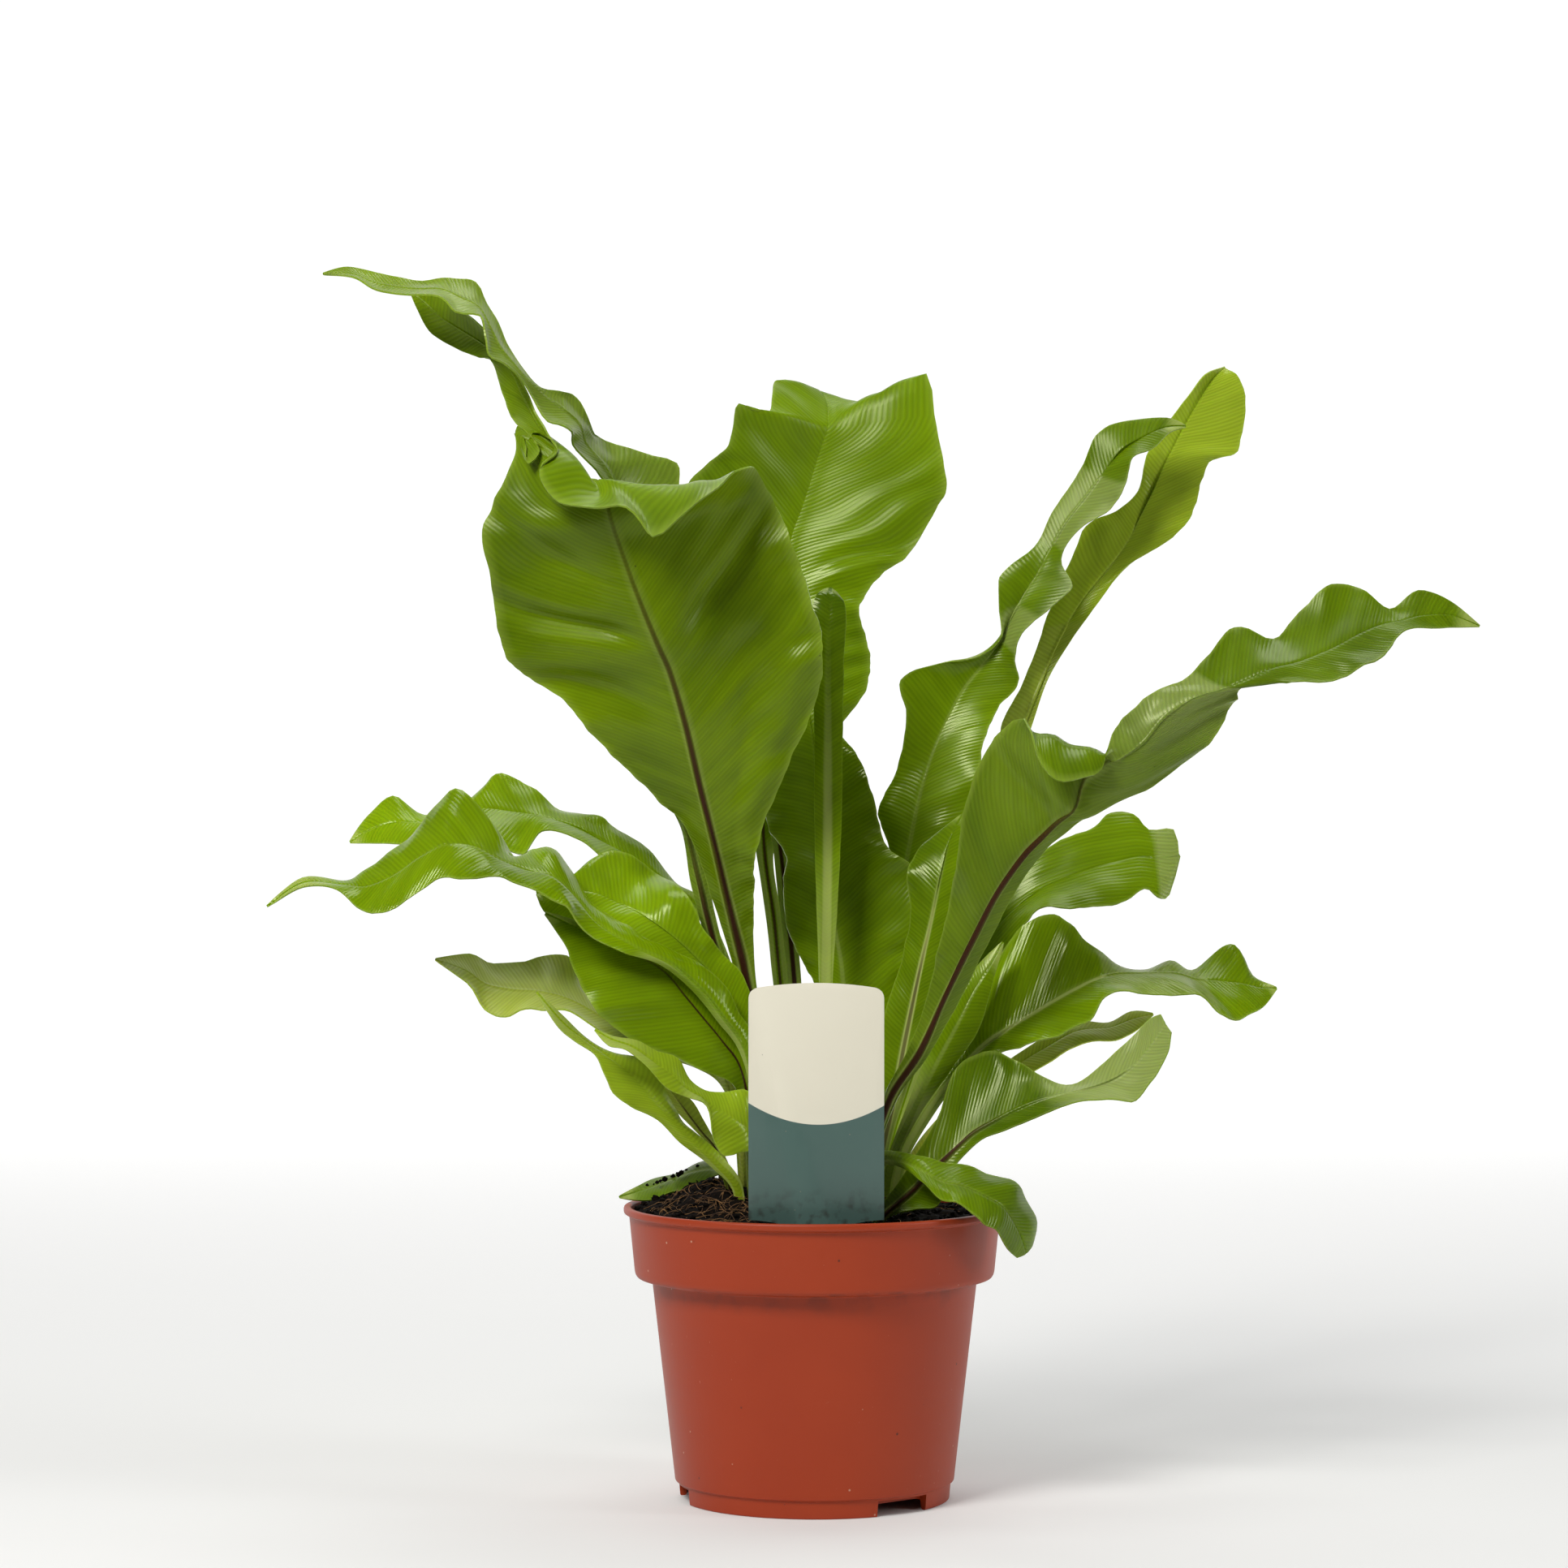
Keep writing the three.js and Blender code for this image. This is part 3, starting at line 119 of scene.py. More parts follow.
# Each station of a frond is [x, z, y, half width] on a stem, or its edges and midrib given one by one:
# [left, rib, right] or [left, between, rib, between, right], each [x, z, y], in millimetres.
# x and z are where the point is seen on the upright plane through the pot's axis, y its depth.
# The first number is 1 where the upper side looks away from the eye, -1 where it looks to the eye.
FRONDS = {
    "frond_front_tall": (1, [
        [-13, 122, -6, 2.4], [-16, 148, -8, 2.5], [-24, 195, -9, 3], [-31, 234, -12, 4.5],
        [[-47, 271, -25], [-40, 270, -29], [-27, 268, -25]],
        [[-57, 297, -37], [-46, 294, -43], [-25.5, 290, -37]],
        [[-72, 313, -45], [-51, 315, -54], [-14, 322, -45]],
        [[-95, 335, -56], [-57, 342, -66], [0.5, 357, -50]],
        [[-112, 355, -60], [-64, 366, -73], [2, 384, -54]],
        [[-127, 364, -66], [-70, 380, -79], [-2, 400, -60]],
        [[-139, 378, -70], [-79, 402, -85], [-10, 425, -66]],
        [[-144, 406, -74], [-87, 424, -90], [-21, 449, -72]],
        [[-148.5, 428, -76], [-120, 431, -86], [-91, 434, -92], [-58, 446, -90], [-31, 460, -84]],
        [[-144, 442, -76], [-119, 441, -86], [-95, 442, -94], [-64, 450, -96], [-46, 448, -108]],
        [[-139, 449, -76], [-118, 448, -86], [-97, 446, -94], [-74, 450, -99], [-62, 434, -116]],
        [[-136, 458, -74], [-118, 455, -84], [-99, 449, -94], [-84, 449.5, -99], [-72, 427, -118]],
        [[-133, 467, -72], [-118, 462, -80], [-102, 453, -92], [-92, 449, -98], [-84, 441, -112]],
        [[-131, 475, -72], [-119, 468, -80], [-105, 457, -90], [-97, 448.5, -97], [-98, 440, -107]],
        [[-127, 459, -90], [-129, 473, -76], [-109, 462, -88], [-103, 456, -95], [-113, 442, -106]],
        [[-121, 465, -86], [-126, 474, -76], [-113, 467, -86], [-110, 463, -93], [-120, 454, -102]],
        [[-129, 475, -76], [-118, 473, -82], [-114, 466, -92]],
        [[-135, 481, -70], [-124, 481, -77], [-120, 475, -82]],
        [[-139, 492, -64], [-130, 493, -71], [-126, 487, -75]],
        [[-144, 506, -58], [-136, 503, -65], [-131, 498, -69]],
        [[-150, 508, -54], [-147, 514, -58], [-140, 512, -63]],
        [[-158, 511, -48], [-156, 519, -52], [-151, 524, -58]],
        [[-171, 518.5, -46], [-167, 526, -50], [-161, 531, -55]],
        [[-177, 529, -46], [-175, 533, -48], [-170, 537, -51]], [-180, 537, -46, 0.5],
    ]),
    "frond_left_crooked": (1, [
        [-14, 122, 1, 2.4], [-18, 148, 0, 2.5], [-31, 200, -4, 2.8], [-45, 248, -10, 3.4],
        [[-55, 273, -17], [-51, 272, -20], [-46.5, 271, -18]],
        [[-60, 299, -22], [-58, 298, -27], [-50, 298, -25]],
        [[-78, 330, -34], [-65, 330, -40], [-50, 333, -36]],
        [[-98, 360, -38], [-74, 362, -46], [-50, 368, -40]],
        [[-112, 392, -44], [-82, 398, -52], [-52, 404, -46]],
        [[-112, 420, -50], [-87, 430, -58], [-54, 436, -46]],
        [[-93, 446, -62], [-90, 450, -58], [-60, 450, -42]],
        [[-96, 455, -68], [-93, 458, -60], [-62, 460, -38]],
        [[-101, 462, -74], [-97, 464, -64], [-78, 465, -42]],
        [[-107, 469, -78], [-101, 470, -67], [-92, 471, -48]],
        [[-108, 475, -84], [-104, 480, -70], [-99, 476, -58]],
        [[-119, 479, -86], [-112, 487, -75], [-106, 490, -62]],
        [[-125, 489, -84], [-119, 491, -78], [-112, 492.5, -68]],
        [[-131, 499, -88], [-127, 498, -84], [-123, 495, -78]],
        [[-138, 505, -92], [-133, 505, -87], [-130, 503, -81]],
        [[-145, 509, -94], [-139, 513, -87], [-136, 512, -80]],
        [[-147, 518, -92], [-144, 522, -85], [-140, 521, -77]],
        [[-149, 527, -90], [-150, 531, -81], [-146, 532, -73]],
        [[-160, 529, -90], [-157, 535, -80], [-151, 541, -70]],
        [[-168, 535, -86], [-167, 539, -77], [-163, 543, -68]],
        [[-180, 535.5, -80], [-179, 539, -73], [-178, 542, -66]],
        [[-195, 538, -74], [-195, 541, -68], [-195, 545.5, -62]],
        [[-206, 543.5, -68], [-207, 545.5, -64], [-208, 548, -60]], [-219, 545, -60, 0.5],
    ]),
    "frond_centre_stem": (-1, [
        [-2, 122, 3, 2.4], [-4, 148, 6, 2.5], [-7, 190, 14, 2.8], [-9, 230, 21, 3], [-13, 270, 28, 3.4],
        [[-21, 300, 34], [-17, 300, 35], [-12, 300, 34]], [[-36, 330, 36], [-24, 330, 39], [-10, 332, 37]],
        [[-52, 362, 36], [-34, 364, 42], [-14, 368, 40]], [[-64, 392, 38], [-46, 398, 45], [-24, 404, 40]],
        [[-72, 418, 40], [-58, 426, 47], [-38, 434, 42]], [[-74, 434, 44], [-68, 439, 48], [-60, 442, 45]],
        [-73, 445, 48, 0.5],
    ]),
    "frond_back_tall": (-1, [
        [-5, 122, 15, 2.4], [-8, 148, 18, 2.5], [-11, 190, 26, 2.8], [-15.5, 232, 35, 3.2],
        [-18, 257, 41, 3.4], [-22, 285, 48, 3.6], [[-30, 306, 52], [-23, 308, 54], [-12, 310, 54]],
        [[-46, 330, 54], [-21, 332, 59], [4, 334, 57]], [[-56, 352, 56], [-18, 356, 65], [22, 358, 60]],
        [[-60, 376, 58], [-15, 382, 71], [24.5, 376, 64]], [[-62, 400, 58], [-13, 408, 77], [20, 396, 68]],
        [[-60, 425, 60], [-11, 427, 80], [30, 411, 71]], [[-58, 448, 62], [-6, 441, 82], [43, 421, 73]],
        [[-48, 460, 64], [-3, 450, 83], [54, 440, 75]], [[-40, 467, 66], [0, 460, 84], [59, 451, 77]],
        [[-36, 478, 66], [3, 469, 84], [56, 467, 79]], [[-34, 487, 64], [5, 474, 84], [53, 482, 82]],
        [[-21, 482.5, 70], [6, 476, 86], [50, 500, 84]], [[-19, 492, 80], [5, 484, 93], [34, 489, 92]],
        [[-17, 498, 88], [2, 491, 99], [20, 485, 99]], [[-10, 496, 92], [1, 492, 100], [12, 487, 101]],
    ]),
    "frond_young_rolled": (-1, [
        [4, 122, -7, 2.4], [4.5, 150, -7, 2.4], [5, 200, -6, 3], [[2, 228, -9], [5, 228, -8], [8, 228, -9]],
        [[1, 260, -12], [5.5, 260, -11], [10, 260, -12]], [[0, 300, -13], [6, 300, -12.5], [12, 300, -14]],
        [[0, 340, -12], [6, 340, -13.5], [12.5, 340, -13]], [[-1, 370, -11], [6, 370, -13], [13, 370, -12]],
        [[-1, 392, -9], [6.5, 392, -10], [14, 391, -9]], [[1, 402, -6], [7, 403, -5], [13, 399, -6]],
        [7, 405, 0, 0.8],
    ]),
    "frond_centre_broad": (-1, [
        [10, 122, 6, 2.4], [11, 148, 8, 2.5], [12, 190, 11, 2.8],
        [[2, 222, 13], [13, 216, 15], [32, 214, 11]], [[-4, 236, 12], [12, 236, 18], [42, 238, 10]],
        [[-11, 250, 12], [9, 254, 21], [46, 252, 8]], [[-14, 270, 14], [6, 274, 24], [44, 279, 10]],
        [[-13, 285, 16], [4, 292, 27], [32, 290, 14]], [[-20, 298, 18], [2, 310, 29], [27.5, 306, 18]],
        [[-24, 312, 20], [0, 328, 32], [22, 325, 22]], [[-22, 330, 24], [-2, 344, 35], [12, 340, 28]],
        [[-16, 350, 30], [-4, 358, 37], [4, 352, 34]], [-6, 369, 38, 0.5],
    ]),
    "frond_right_back": (-1, [
        [15, 122, 15, 2.4], [17, 148, 18, 2.5], [23, 190, 24, 2.8], [30, 235, 31, 3.2],
        [[34, 262, 37], [37, 264, 37], [42, 264, 36]], [[33, 290, 42], [43, 292, 40], [54, 291, 36]],
        [[28.5, 306, 46], [47, 312, 44], [67, 305, 36]], [[36, 322, 48], [52, 330, 48], [73, 324, 38]],
        [[41, 345, 46], [59, 346, 52], [76.5, 340, 42]], [[38.5, 364, 44], [66, 360, 54], [83, 353, 48]],
        [[55, 371.5, 46], [74, 371, 56], [91, 363, 50]], [[74, 375, 48], [82, 383, 57], [89, 375, 48]],
        [[83, 384, 50], [88, 394, 57], [94, 387, 46]], [[82, 402, 52], [95, 404, 57], [106, 397, 44]],
        [[84, 412, 54], [101, 413, 56], [115, 406, 44]], [[98, 423, 56], [106, 422, 55], [110, 418, 49]],
        [[106, 438, 58], [113, 434, 55], [118, 431, 49]], [[114, 450, 60], [122, 445, 56], [132, 440, 46]],
        [[120, 460, 60], [129, 454, 56], [139, 452, 46]], [[127, 474, 60], [137, 464, 56], [142, 463, 48]],
        [[140, 479, 60], [146, 471, 56], [151, 467, 50]],
        [[157, 480.5, 58], [156, 476, 56], [158, 474, 53]], [165.5, 477, 56, 0.5],
    ]),
    "frond_right_top": (-1, [
        [22, 122, 8, 2.4], [25, 148, 11, 2.5], [38, 190, 21, 2.6], [56, 235, 34, 2.8], [72, 280, 46, 3],
        [[81, 320, 56], [85, 318, 57], [88, 316, 56]], [[83, 343, 60], [93, 345, 64], [97, 344, 63]],
        [[92, 361, 65], [101, 363, 68], [104, 364, 67]], [[99, 378, 70], [108, 380, 72], [114, 381, 70]],
        [[105, 396, 73], [118, 397, 75], [127, 399, 73]], [[112, 412, 75], [129, 410, 78], [139, 414, 76]],
        [[121, 432, 76], [138, 422, 80], [155, 424, 78]], [[134, 439, 78], [144, 434, 82], [166, 434, 80]],
        [[144, 448, 80], [150, 447, 84], [171, 447, 82]], [[148, 464, 82], [157, 462, 86], [176, 461, 84]],
        [[157, 478, 84], [164, 476, 88], [188, 466, 86]], [[166, 490, 86], [171, 488, 90], [192, 484, 88]],
        [[174, 500, 86], [177, 498, 92], [189, 498, 90]], [183, 503, 92, 0.8],
    ]),
    "frond_right_long": (1, [
        [20, 122, -16, 2.4], [24, 148, -19, 2.6], [34, 178, -26, 3],
        [[42, 200, -31], [47, 198, -34], [51, 197, -32]], [[50, 222, -36], [58, 222, -42], [66, 224, -38]],
        [[57, 252, -42], [72, 250, -50], [79, 250, -46]], [[63, 280, -46], [82, 269, -56], [88, 267, -52]],
        [[66, 303, -48], [93, 283, -62], [100, 285, -56]],
        [[70, 318, -50], [101, 291, -66], [109, 294, -60]],
        [[77, 333, -52], [108, 298, -69], [118, 300, -62]],
        [[84, 342, -56], [99, 322, -66], [115, 305, -71], [121, 303, -68], [128, 305, -63]],
        [[94, 347, -66], [100, 333, -68], [118, 307, -72], [127, 306, -68], [136, 309, -64]],
        [[100, 331, -86], [106, 337, -72], [122, 311, -73], [132, 310, -69], [144, 313, -64]],
        [[108, 318, -92], [113, 333, -76], [127, 315, -74], [139, 314, -69], [154, 318, -64]],
        [[119, 318, -90], [122, 331, -78], [132, 319, -75], [147, 320, -69], [164, 325, -63]],
        [[128, 323, -84], [130, 329, -79], [137, 323, -76], [153, 326, -69], [172, 332, -62]],
        [[134, 342, -72], [146, 333, -77], [181, 342, -64]],
        [[143, 351, -70], [156, 345, -78], [187, 355, -66]],
        [[155, 361, -68], [168, 353, -79], [190, 360, -70]],
        [[166, 364, -66], [180, 358, -80], [196, 363, -74]],
        [[176, 375, -62], [190, 363, -80], [205, 363, -78]],
        [[187, 388, -58], [202, 369, -79], [216, 363, -82]],
        [[204, 383, -62], [214, 373, -78], [230, 364.5, -84]],
        [[218, 396, -58], [228, 378, -76], [243, 369, -84]],
        [[230, 406, -56], [240, 384, -74], [254, 375, -82]],
        [[243, 405.5, -58], [250, 388, -72], [259, 383, -78]],
        [[256, 395.5, -62], [261, 391, -70], [267, 387.5, -74]],
        [[269, 404, -62], [272, 393, -68], [275, 387, -72]],
        [[283, 399.5, -64], [284, 393, -67], [284, 387.5, -69]], [296.5, 388, -68, 0.5],
    ]),
    "frond_right_middle": (-1, [
        [29, 122, 13, 2.4], [32, 148, 16, 2.5], [44, 188, 25, 2.8],
        [[54, 222, 32], [60, 224, 31], [66, 222, 27]], [[68, 246, 36], [76, 244, 34], [84, 243, 25]],
        [[84, 268, 40], [88, 258, 36], [94, 255, 24]], [[98, 284, 42], [101, 267, 38], [102, 262, 22]],
        [[110, 292, 44], [114, 274, 38], [116, 262, 20]], [[123, 297, 46], [126, 279, 38], [128, 263, 20]],
        [[132, 304, 50], [136, 282, 38], [139, 265, 22]], [[142, 304, 50], [144, 284, 38], [147, 271, 26]],
        [[149, 297, 46], [151, 284, 38], [153, 267, 24]], [[160, 297, 44], [158, 284, 38], [158, 268, 28]],
        [162.5, 286, 38, 0.8],
    ]),
    "frond_right_glossy": (-1, [
        [34, 122, -4, 2.4], [38, 148, -4, 2.5], [48, 168, -4, 3],
        [[56, 186, -2], [60, 184, -4], [64, 184, -6]], [[66, 207, 4], [74, 198, -2], [82, 197, -8]],
        [[77, 226, 9], [86, 206, 0], [93, 200, -12]], [[86, 245, 14], [96, 212, 0.3], [103, 203, -16]],
        [[98, 256, 15], [106, 218, 0.5], [114, 208, -18]],
        [[109, 259, 13.5], [115, 223, 1], [124, 214, -18]],
        [[120, 249, 10], [125, 227, 2], [131, 223, -14]], [[134, 237, 12], [137, 231, 4], [144, 224, -12]],
        [[147, 234.5, 12], [149, 232, 4], [157, 224, -12]],
        [[158, 238, 14], [160, 231, 4], [169, 223, -12]],
        [[168, 234.5, 12], [170, 229, 4], [179, 216, -14]],
        [[178, 242, 16], [180, 228, 4], [186, 212.5, -14]],
        [[187, 245, 16], [189, 227, 4], [195, 215, -10]], [[195, 232, 10], [197, 226, 4], [201, 219, -4]],
        [206, 226.5, 4, 0.5],
    ]),
    "frond_right_narrow": (-1, [
        [39, 122, 6, 2.2], [43, 148, 8, 2.2], [56, 166, 12, 2.6],
        [[72, 184, 20], [74, 181, 18], [77, 179, 15]], [[86, 194, 26], [88, 190, 24], [92, 186, 18]],
        [[100, 203, 32], [102, 198, 28], [106, 194, 20]], [[116, 211, 36], [117, 206, 31], [119, 202, 22]],
        [[131, 211, 36], [131, 208, 32], [134, 203, 24]], [[141, 216, 38], [142, 212, 34], [144, 208, 28]],
        [151, 215, 34, 0.5],
    ]),
    "frond_right_low": (1, [
        [22, 110, -46, 2.2], [[27, 125, -48], [29.5, 124, -47], [32, 123.5, -47]],
        [[32, 133, -46], [38, 131.5, -46], [45, 128, -48]],
        [[38, 141, -42], [47, 140.5, -43], [55, 130, -45]],
        [[48, 157, -34], [56, 148.5, -39], [60, 143, -41]],
        [[56, 172, -28], [62, 154, -36], [66, 151.5, -39]],
        [[61, 188, -22], [69, 160, -34], [74, 159, -38]], [[68, 195, -20], [77, 165, -34], [84, 163, -40]],
        [[80, 198.5, -20], [87, 171, -35], [94, 167, -42]],
        [[91, 193, -24], [97, 175.5, -37], [105, 171.5, -45]],
        [[104, 185.5, -28], [109, 179.5, -39], [117, 176, -48]],
        [[117, 184.5, -32], [121, 183, -41], [130, 178, -50]],
        [[129, 194, -32], [132, 187, -42], [143, 176.5, -52]],
        [[141, 204, -32], [141, 193, -42], [151, 187, -50]],
        [[149, 212.5, -34], [149, 202, -42], [157, 198, -48]],
        [[154, 215, -38], [156, 211, -42], [159, 207, -45]],
    ]),
    "frond_over_rim": (-1, [
        [21, 122, -27, 2.4], [24, 142, -29, 2.6], [[29, 153, -34], [31, 151, -37], [33, 148, -39]],
        [[38, 153.5, -42], [39, 149, -47], [42, 145, -51]],
        [[49, 151, -48], [48, 144, -55], [49, 139, -61]],
        [[59, 147.5, -49], [57, 139.5, -59], [56, 132.5, -67]],
        [[71, 146, -48], [66, 137, -60], [63, 131, -70]],
        [[82, 142.5, -46], [75, 133, -60], [70, 126, -71]],
        [[91, 139, -44], [83, 128, -58], [76, 121, -70]], [[95, 130, -40], [88, 121, -53], [81, 118, -64]],
        [[98.5, 122, -38], [92, 114, -49], [86, 110, -56]],
        [[97, 112, -41], [94, 108, -46], [90, 106.5, -49]],
    ]),
    "frond_left_long": (-1, [
        [-18, 122, -18, 2.4], [-20, 148, -21, 2.5], [-25, 178, -26, 2.8],
        [[-33, 198, -29], [-31, 200, -31], [-27, 203, -27]],
        [[-43, 212, -31], [-41, 214, -34], [-33, 215, -27]],
        [[-54, 225, -33], [-51, 226, -37], [-44, 231, -28]],
        [[-68, 237, -38], [-64, 237, -40], [-60, 242, -29]],
        [[-84, 242, -46], [-80, 245, -42], [-78, 250, -29]],
        [[-100, 250, -52], [-97, 255, -43], [-94, 260.5, -28]],
        [[-109, 259, -56], [-108, 267, -43], [-106, 274, -26]],
        [[-115, 266, -58], [-119, 275, -44], [-116, 287, -26]],
        [[-130, 272, -58], [-131, 278, -44], [-126, 288, -28]],
        [[-143, 276, -58], [-143, 284, -45], [-134, 286, -30]],
        [[-156, 274.5, -59], [-153, 289, -45], [-146, 301, -28]],
        [[-167, 276, -59], [-164, 289, -46], [-160, 315, -26]],
        [[-178, 268.5, -60], [-175, 284, -46], [-172, 304, -30]],
        [[-190, 260, -60], [-187, 276, -47], [-184, 290, -34]],
        [[-202, 261.5, -58], [-199, 271, -48], [-198, 280, -38]],
        [[-213, 270.5, -54], [-212, 272, -48], [-209, 274.5, -42]],
        [[-228, 271.5, -52], [-228, 273, -49], [-228, 275.5, -46]], [-244, 263, -50, 0.5],
    ]),
    "frond_left_back": (-1, [
        [-13, 122, 7, 2.4], [-16, 148, 10, 2.5], [-28, 195, 17, 2.8], [-40, 236, 24, 3.2],
        [[-52, 258, 26], [-52, 262, 28], [-50, 265, 30]], [[-66, 268, 24], [-66, 273, 30], [-63, 274, 36]],
        [[-80, 276, 22], [-80, 283, 31], [-74, 288, 40]], [[-93, 283, 20], [-94, 290, 31], [-88, 297, 42]],
        [[-106, 293, 20], [-108, 297, 31], [-99, 303, 42]],
        [[-122, 297, 20], [-122, 302, 32], [-114, 306, 42]],
        [[-130, 286, 16], [-135, 304, 32], [-127, 316, 44]],
        [[-146, 292, 16], [-149, 305, 32], [-142, 321, 44]],
        [[-162, 296, 18], [-162, 303, 32], [-154, 310, 42]],
        [[-175, 292, 20], [-175, 300, 32], [-174, 303.5, 40]],
        [[-186, 290.5, 22], [-187, 299, 32], [-188, 311.5, 40]],
        [[-196, 291, 26], [-197, 297, 32], [-199, 303, 38]], [-207, 291.5, 32, 0.5],
    ]),
    "frond_left_bright": (-1, [
        [-22, 122, -8, 2.4], [-24, 148, -11, 2.5], [-27, 180, -16, 3],
        [[-33, 206, -17], [-31, 208, -18], [-26, 212, -17]],
        [[-44, 224, -18], [-41, 227, -19], [-32, 232, -18]],
        [[-57, 236, -19], [-53, 241, -18], [-42, 243, -17]],
        [[-68, 244, -20], [-64, 251, -18], [-50, 254, -17]],
        [[-78, 250, -20], [-75, 258, -16], [-57, 268, -12]],
        [[-90, 254, -20], [-87, 264, -12], [-70, 277, 8]],
        [[-104, 256, -21], [-99, 269, -12], [-82, 285, 6]],
        [[-115, 257, -20], [-110, 270, -12], [-95, 287, 2]],
        [[-121, 261, -18], [-118, 270, -13], [-106, 277, -4]], [-124, 269, -14, 0.8],
    ]),
    "frond_left_wide": (-1, [
        [-27, 122, -14, 2.4], [-28, 148, -18, 2.5], [-29, 172, -21, 2.8],
        [[-37, 184, -25], [-34, 192, -23], [-30, 197, -22]],
        [[-50, 190, -30], [-42, 203, -24], [-35, 209, -22]],
        [[-63, 196, -34], [-50, 213, -26], [-43, 218, -22]],
        [[-78, 202, -37], [-58, 223, -27], [-51, 228, -22]],
        [[-92, 211, -39], [-67, 234, -28], [-60, 237, -23]],
        [[-101, 222, -40], [-78, 241, -29], [-70, 243, -24]],
        [[-107, 234, -39], [-91, 246, -31], [-84, 248, -26]],
        [[-111, 245, -37], [-103, 252, -32], [-98, 254, -28]], [-120, 260, -32, 0.8],
    ]),
    "frond_left_pale": (1, [
        [-31, 122, -3, 2.3], [-32, 148, -4, 2.4], [-34, 170, -5, 2.6],
        [[-42, 184, -8], [-39, 187, -6], [-36, 189, -4]], [[-54, 192, -12], [-52, 197, -8], [-48, 199, -3]],
        [[-68, 196, -16], [-66, 203, -10], [-62, 207, -2]],
        [[-84, 201, -20], [-81, 208, -12], [-77, 213, 0]],
        [[-97, 209, -22], [-95, 215, -12], [-91, 222, 4]],
        [[-109, 216, -24], [-108, 222, -12], [-103, 231, 8]],
        [[-124, 217.5, -24], [-122, 226, -12], [-113, 241, 10]],
        [[-138, 215, -24], [-136, 228, -12], [-129, 239.5, 8]],
        [[-147, 218, -22], [-147, 231, -12], [-143, 238, 6]],
        [[-155, 229, -18], [-156, 236, -12], [-154, 242, 2]], [-169, 239.5, -10, 0.5],
    ]),
    "frond_left_small": (-1, [
        [-33, 122, -20, 2.2], [-34.5, 138, -22, 2.4], [[-47, 148, -24], [-44, 149, -25], [-40, 150, -23]],
        [[-60, 158, -26], [-54, 158, -27], [-48, 158, -23]],
        [[-70, 168, -29], [-63, 168, -28], [-57.5, 165, -23]],
        [[-82, 174, -33], [-71, 177, -28], [-62, 173, -22]],
        [[-90, 180, -35], [-79, 185, -28], [-68, 184, -20]],
        [[-94, 189, -34], [-86, 191, -28], [-78, 195, -20]],
        [[-98, 197, -32], [-94, 197, -28], [-89, 197, -22]],
        [[-107, 203, -32], [-103, 204, -29], [-100, 203, -25]],
        [[-115, 210, -34], [-112, 211, -32], [-109, 211, -29]], [-124, 225, -36, 0.4],
    ]),
    "frond_left_twisted": (-1, [
        [-24, 122, -27, 2.2], [-25, 146, -31, 2.4], [[-30, 154, -36], [-30, 162, -34], [-27, 168, -31]],
        [[-40, 152, -40], [-35, 167, -36], [-30, 180, -31]],
        [[-45, 160, -42], [-42, 172, -38], [-40, 180, -32]],
        [[-48, 174, -42], [-50, 177, -39], [-49, 181, -35]],
        [[-57, 178, -42], [-57, 182, -40], [-56, 186, -36]],
        [[-66, 182, -45], [-64, 188, -41], [-61, 195, -36]],
        [[-75, 192, -45], [-72, 194, -42], [-70, 198, -38]],
        [[-84, 199, -45], [-81, 200, -43], [-79, 203, -40]],
        [[-92, 201, -45], [-91, 204, -43], [-90, 205, -41]], [-98, 208, -43, 0.4],
    ]),
    "frond_left_brown_rib": (1, [
        [-37, 122, -9, 2], [-38, 140, -11, 2.2], [[-47, 156, -13], [-44, 154, -13], [-40, 152, -11]],
        [[-53, 163, -14], [-50, 162, -14], [-45, 160, -11]],
        [[-60, 170, -14], [-56, 170, -15], [-50, 169, -12]],
        [[-66, 178, -15], [-62, 178, -16], [-56, 178, -13]], [-70, 188, -16, 0.4],
    ]),
    "frond_left_resting": (-1, [
        [-37, 122, 13, 2], [-40, 141, 13, 2.2], [[-44, 143, 10], [-45, 145.5, 14], [-43, 148, 20]],
        [[-55, 137.5, 8], [-54, 144.5, 16], [-50, 149, 25]],
        [[-64, 135, 8], [-66, 140, 17], [-62, 143.5, 26]],
        [[-73, 132, 8], [-75, 136.5, 15], [-73, 141, 23]], [[-80, 132, 8], [-81, 135, 12], [-79, 138, 16]],
        [-87, 133.5, 8, 0.5],
    ]),
    "frond_young_right": (-1, [
        [26, 122, -5, 2.3], [29, 148, -7, 2.3], [[30, 175, -7], [35, 175, -8], [38, 175, -8]],
        [[29.5, 205, -6], [41, 204, -9], [46, 206, -10]], [[38, 236, -4], [47, 232, -9], [53, 232, -13]],
        [[43, 256, -2], [53, 256, -7], [60, 256, -14]], [[42, 280, 0], [58, 278, -3], [66, 276, -12]],
        [[50, 291, 6], [62, 294, 1], [70, 292, -8]], [66, 304, 5, 0.5],
    ]),
    "frond_right_small": (-1, [
        [30, 122, -13, 2.2], [34, 148, -14, 2.2], [44, 172, -15, 3.4],
        [[49, 194, -14], [54, 192, -15], [61.5, 191, -15]],
        [[58, 214, -12], [64, 211, -13], [72.5, 207, -13]],
        [[67, 229, -9], [71, 225, -10], [77, 220, -11]], [[75, 239, -5], [78, 236, -7], [80, 231, -9]],
        [84, 247, -4, 0.5],
    ]),
    "frond_rear_middle": (-1, [
        [3, 122, 25, 2.4], [3, 148, 28, 2.5], [8, 190, 44, 3], [[2, 222, 62], [12, 222, 62], [22, 222, 60]],
        [[-4, 250, 84], [15, 250, 86], [34, 248, 80]], [[-4, 276, 108], [17, 278, 112], [36, 274, 104]],
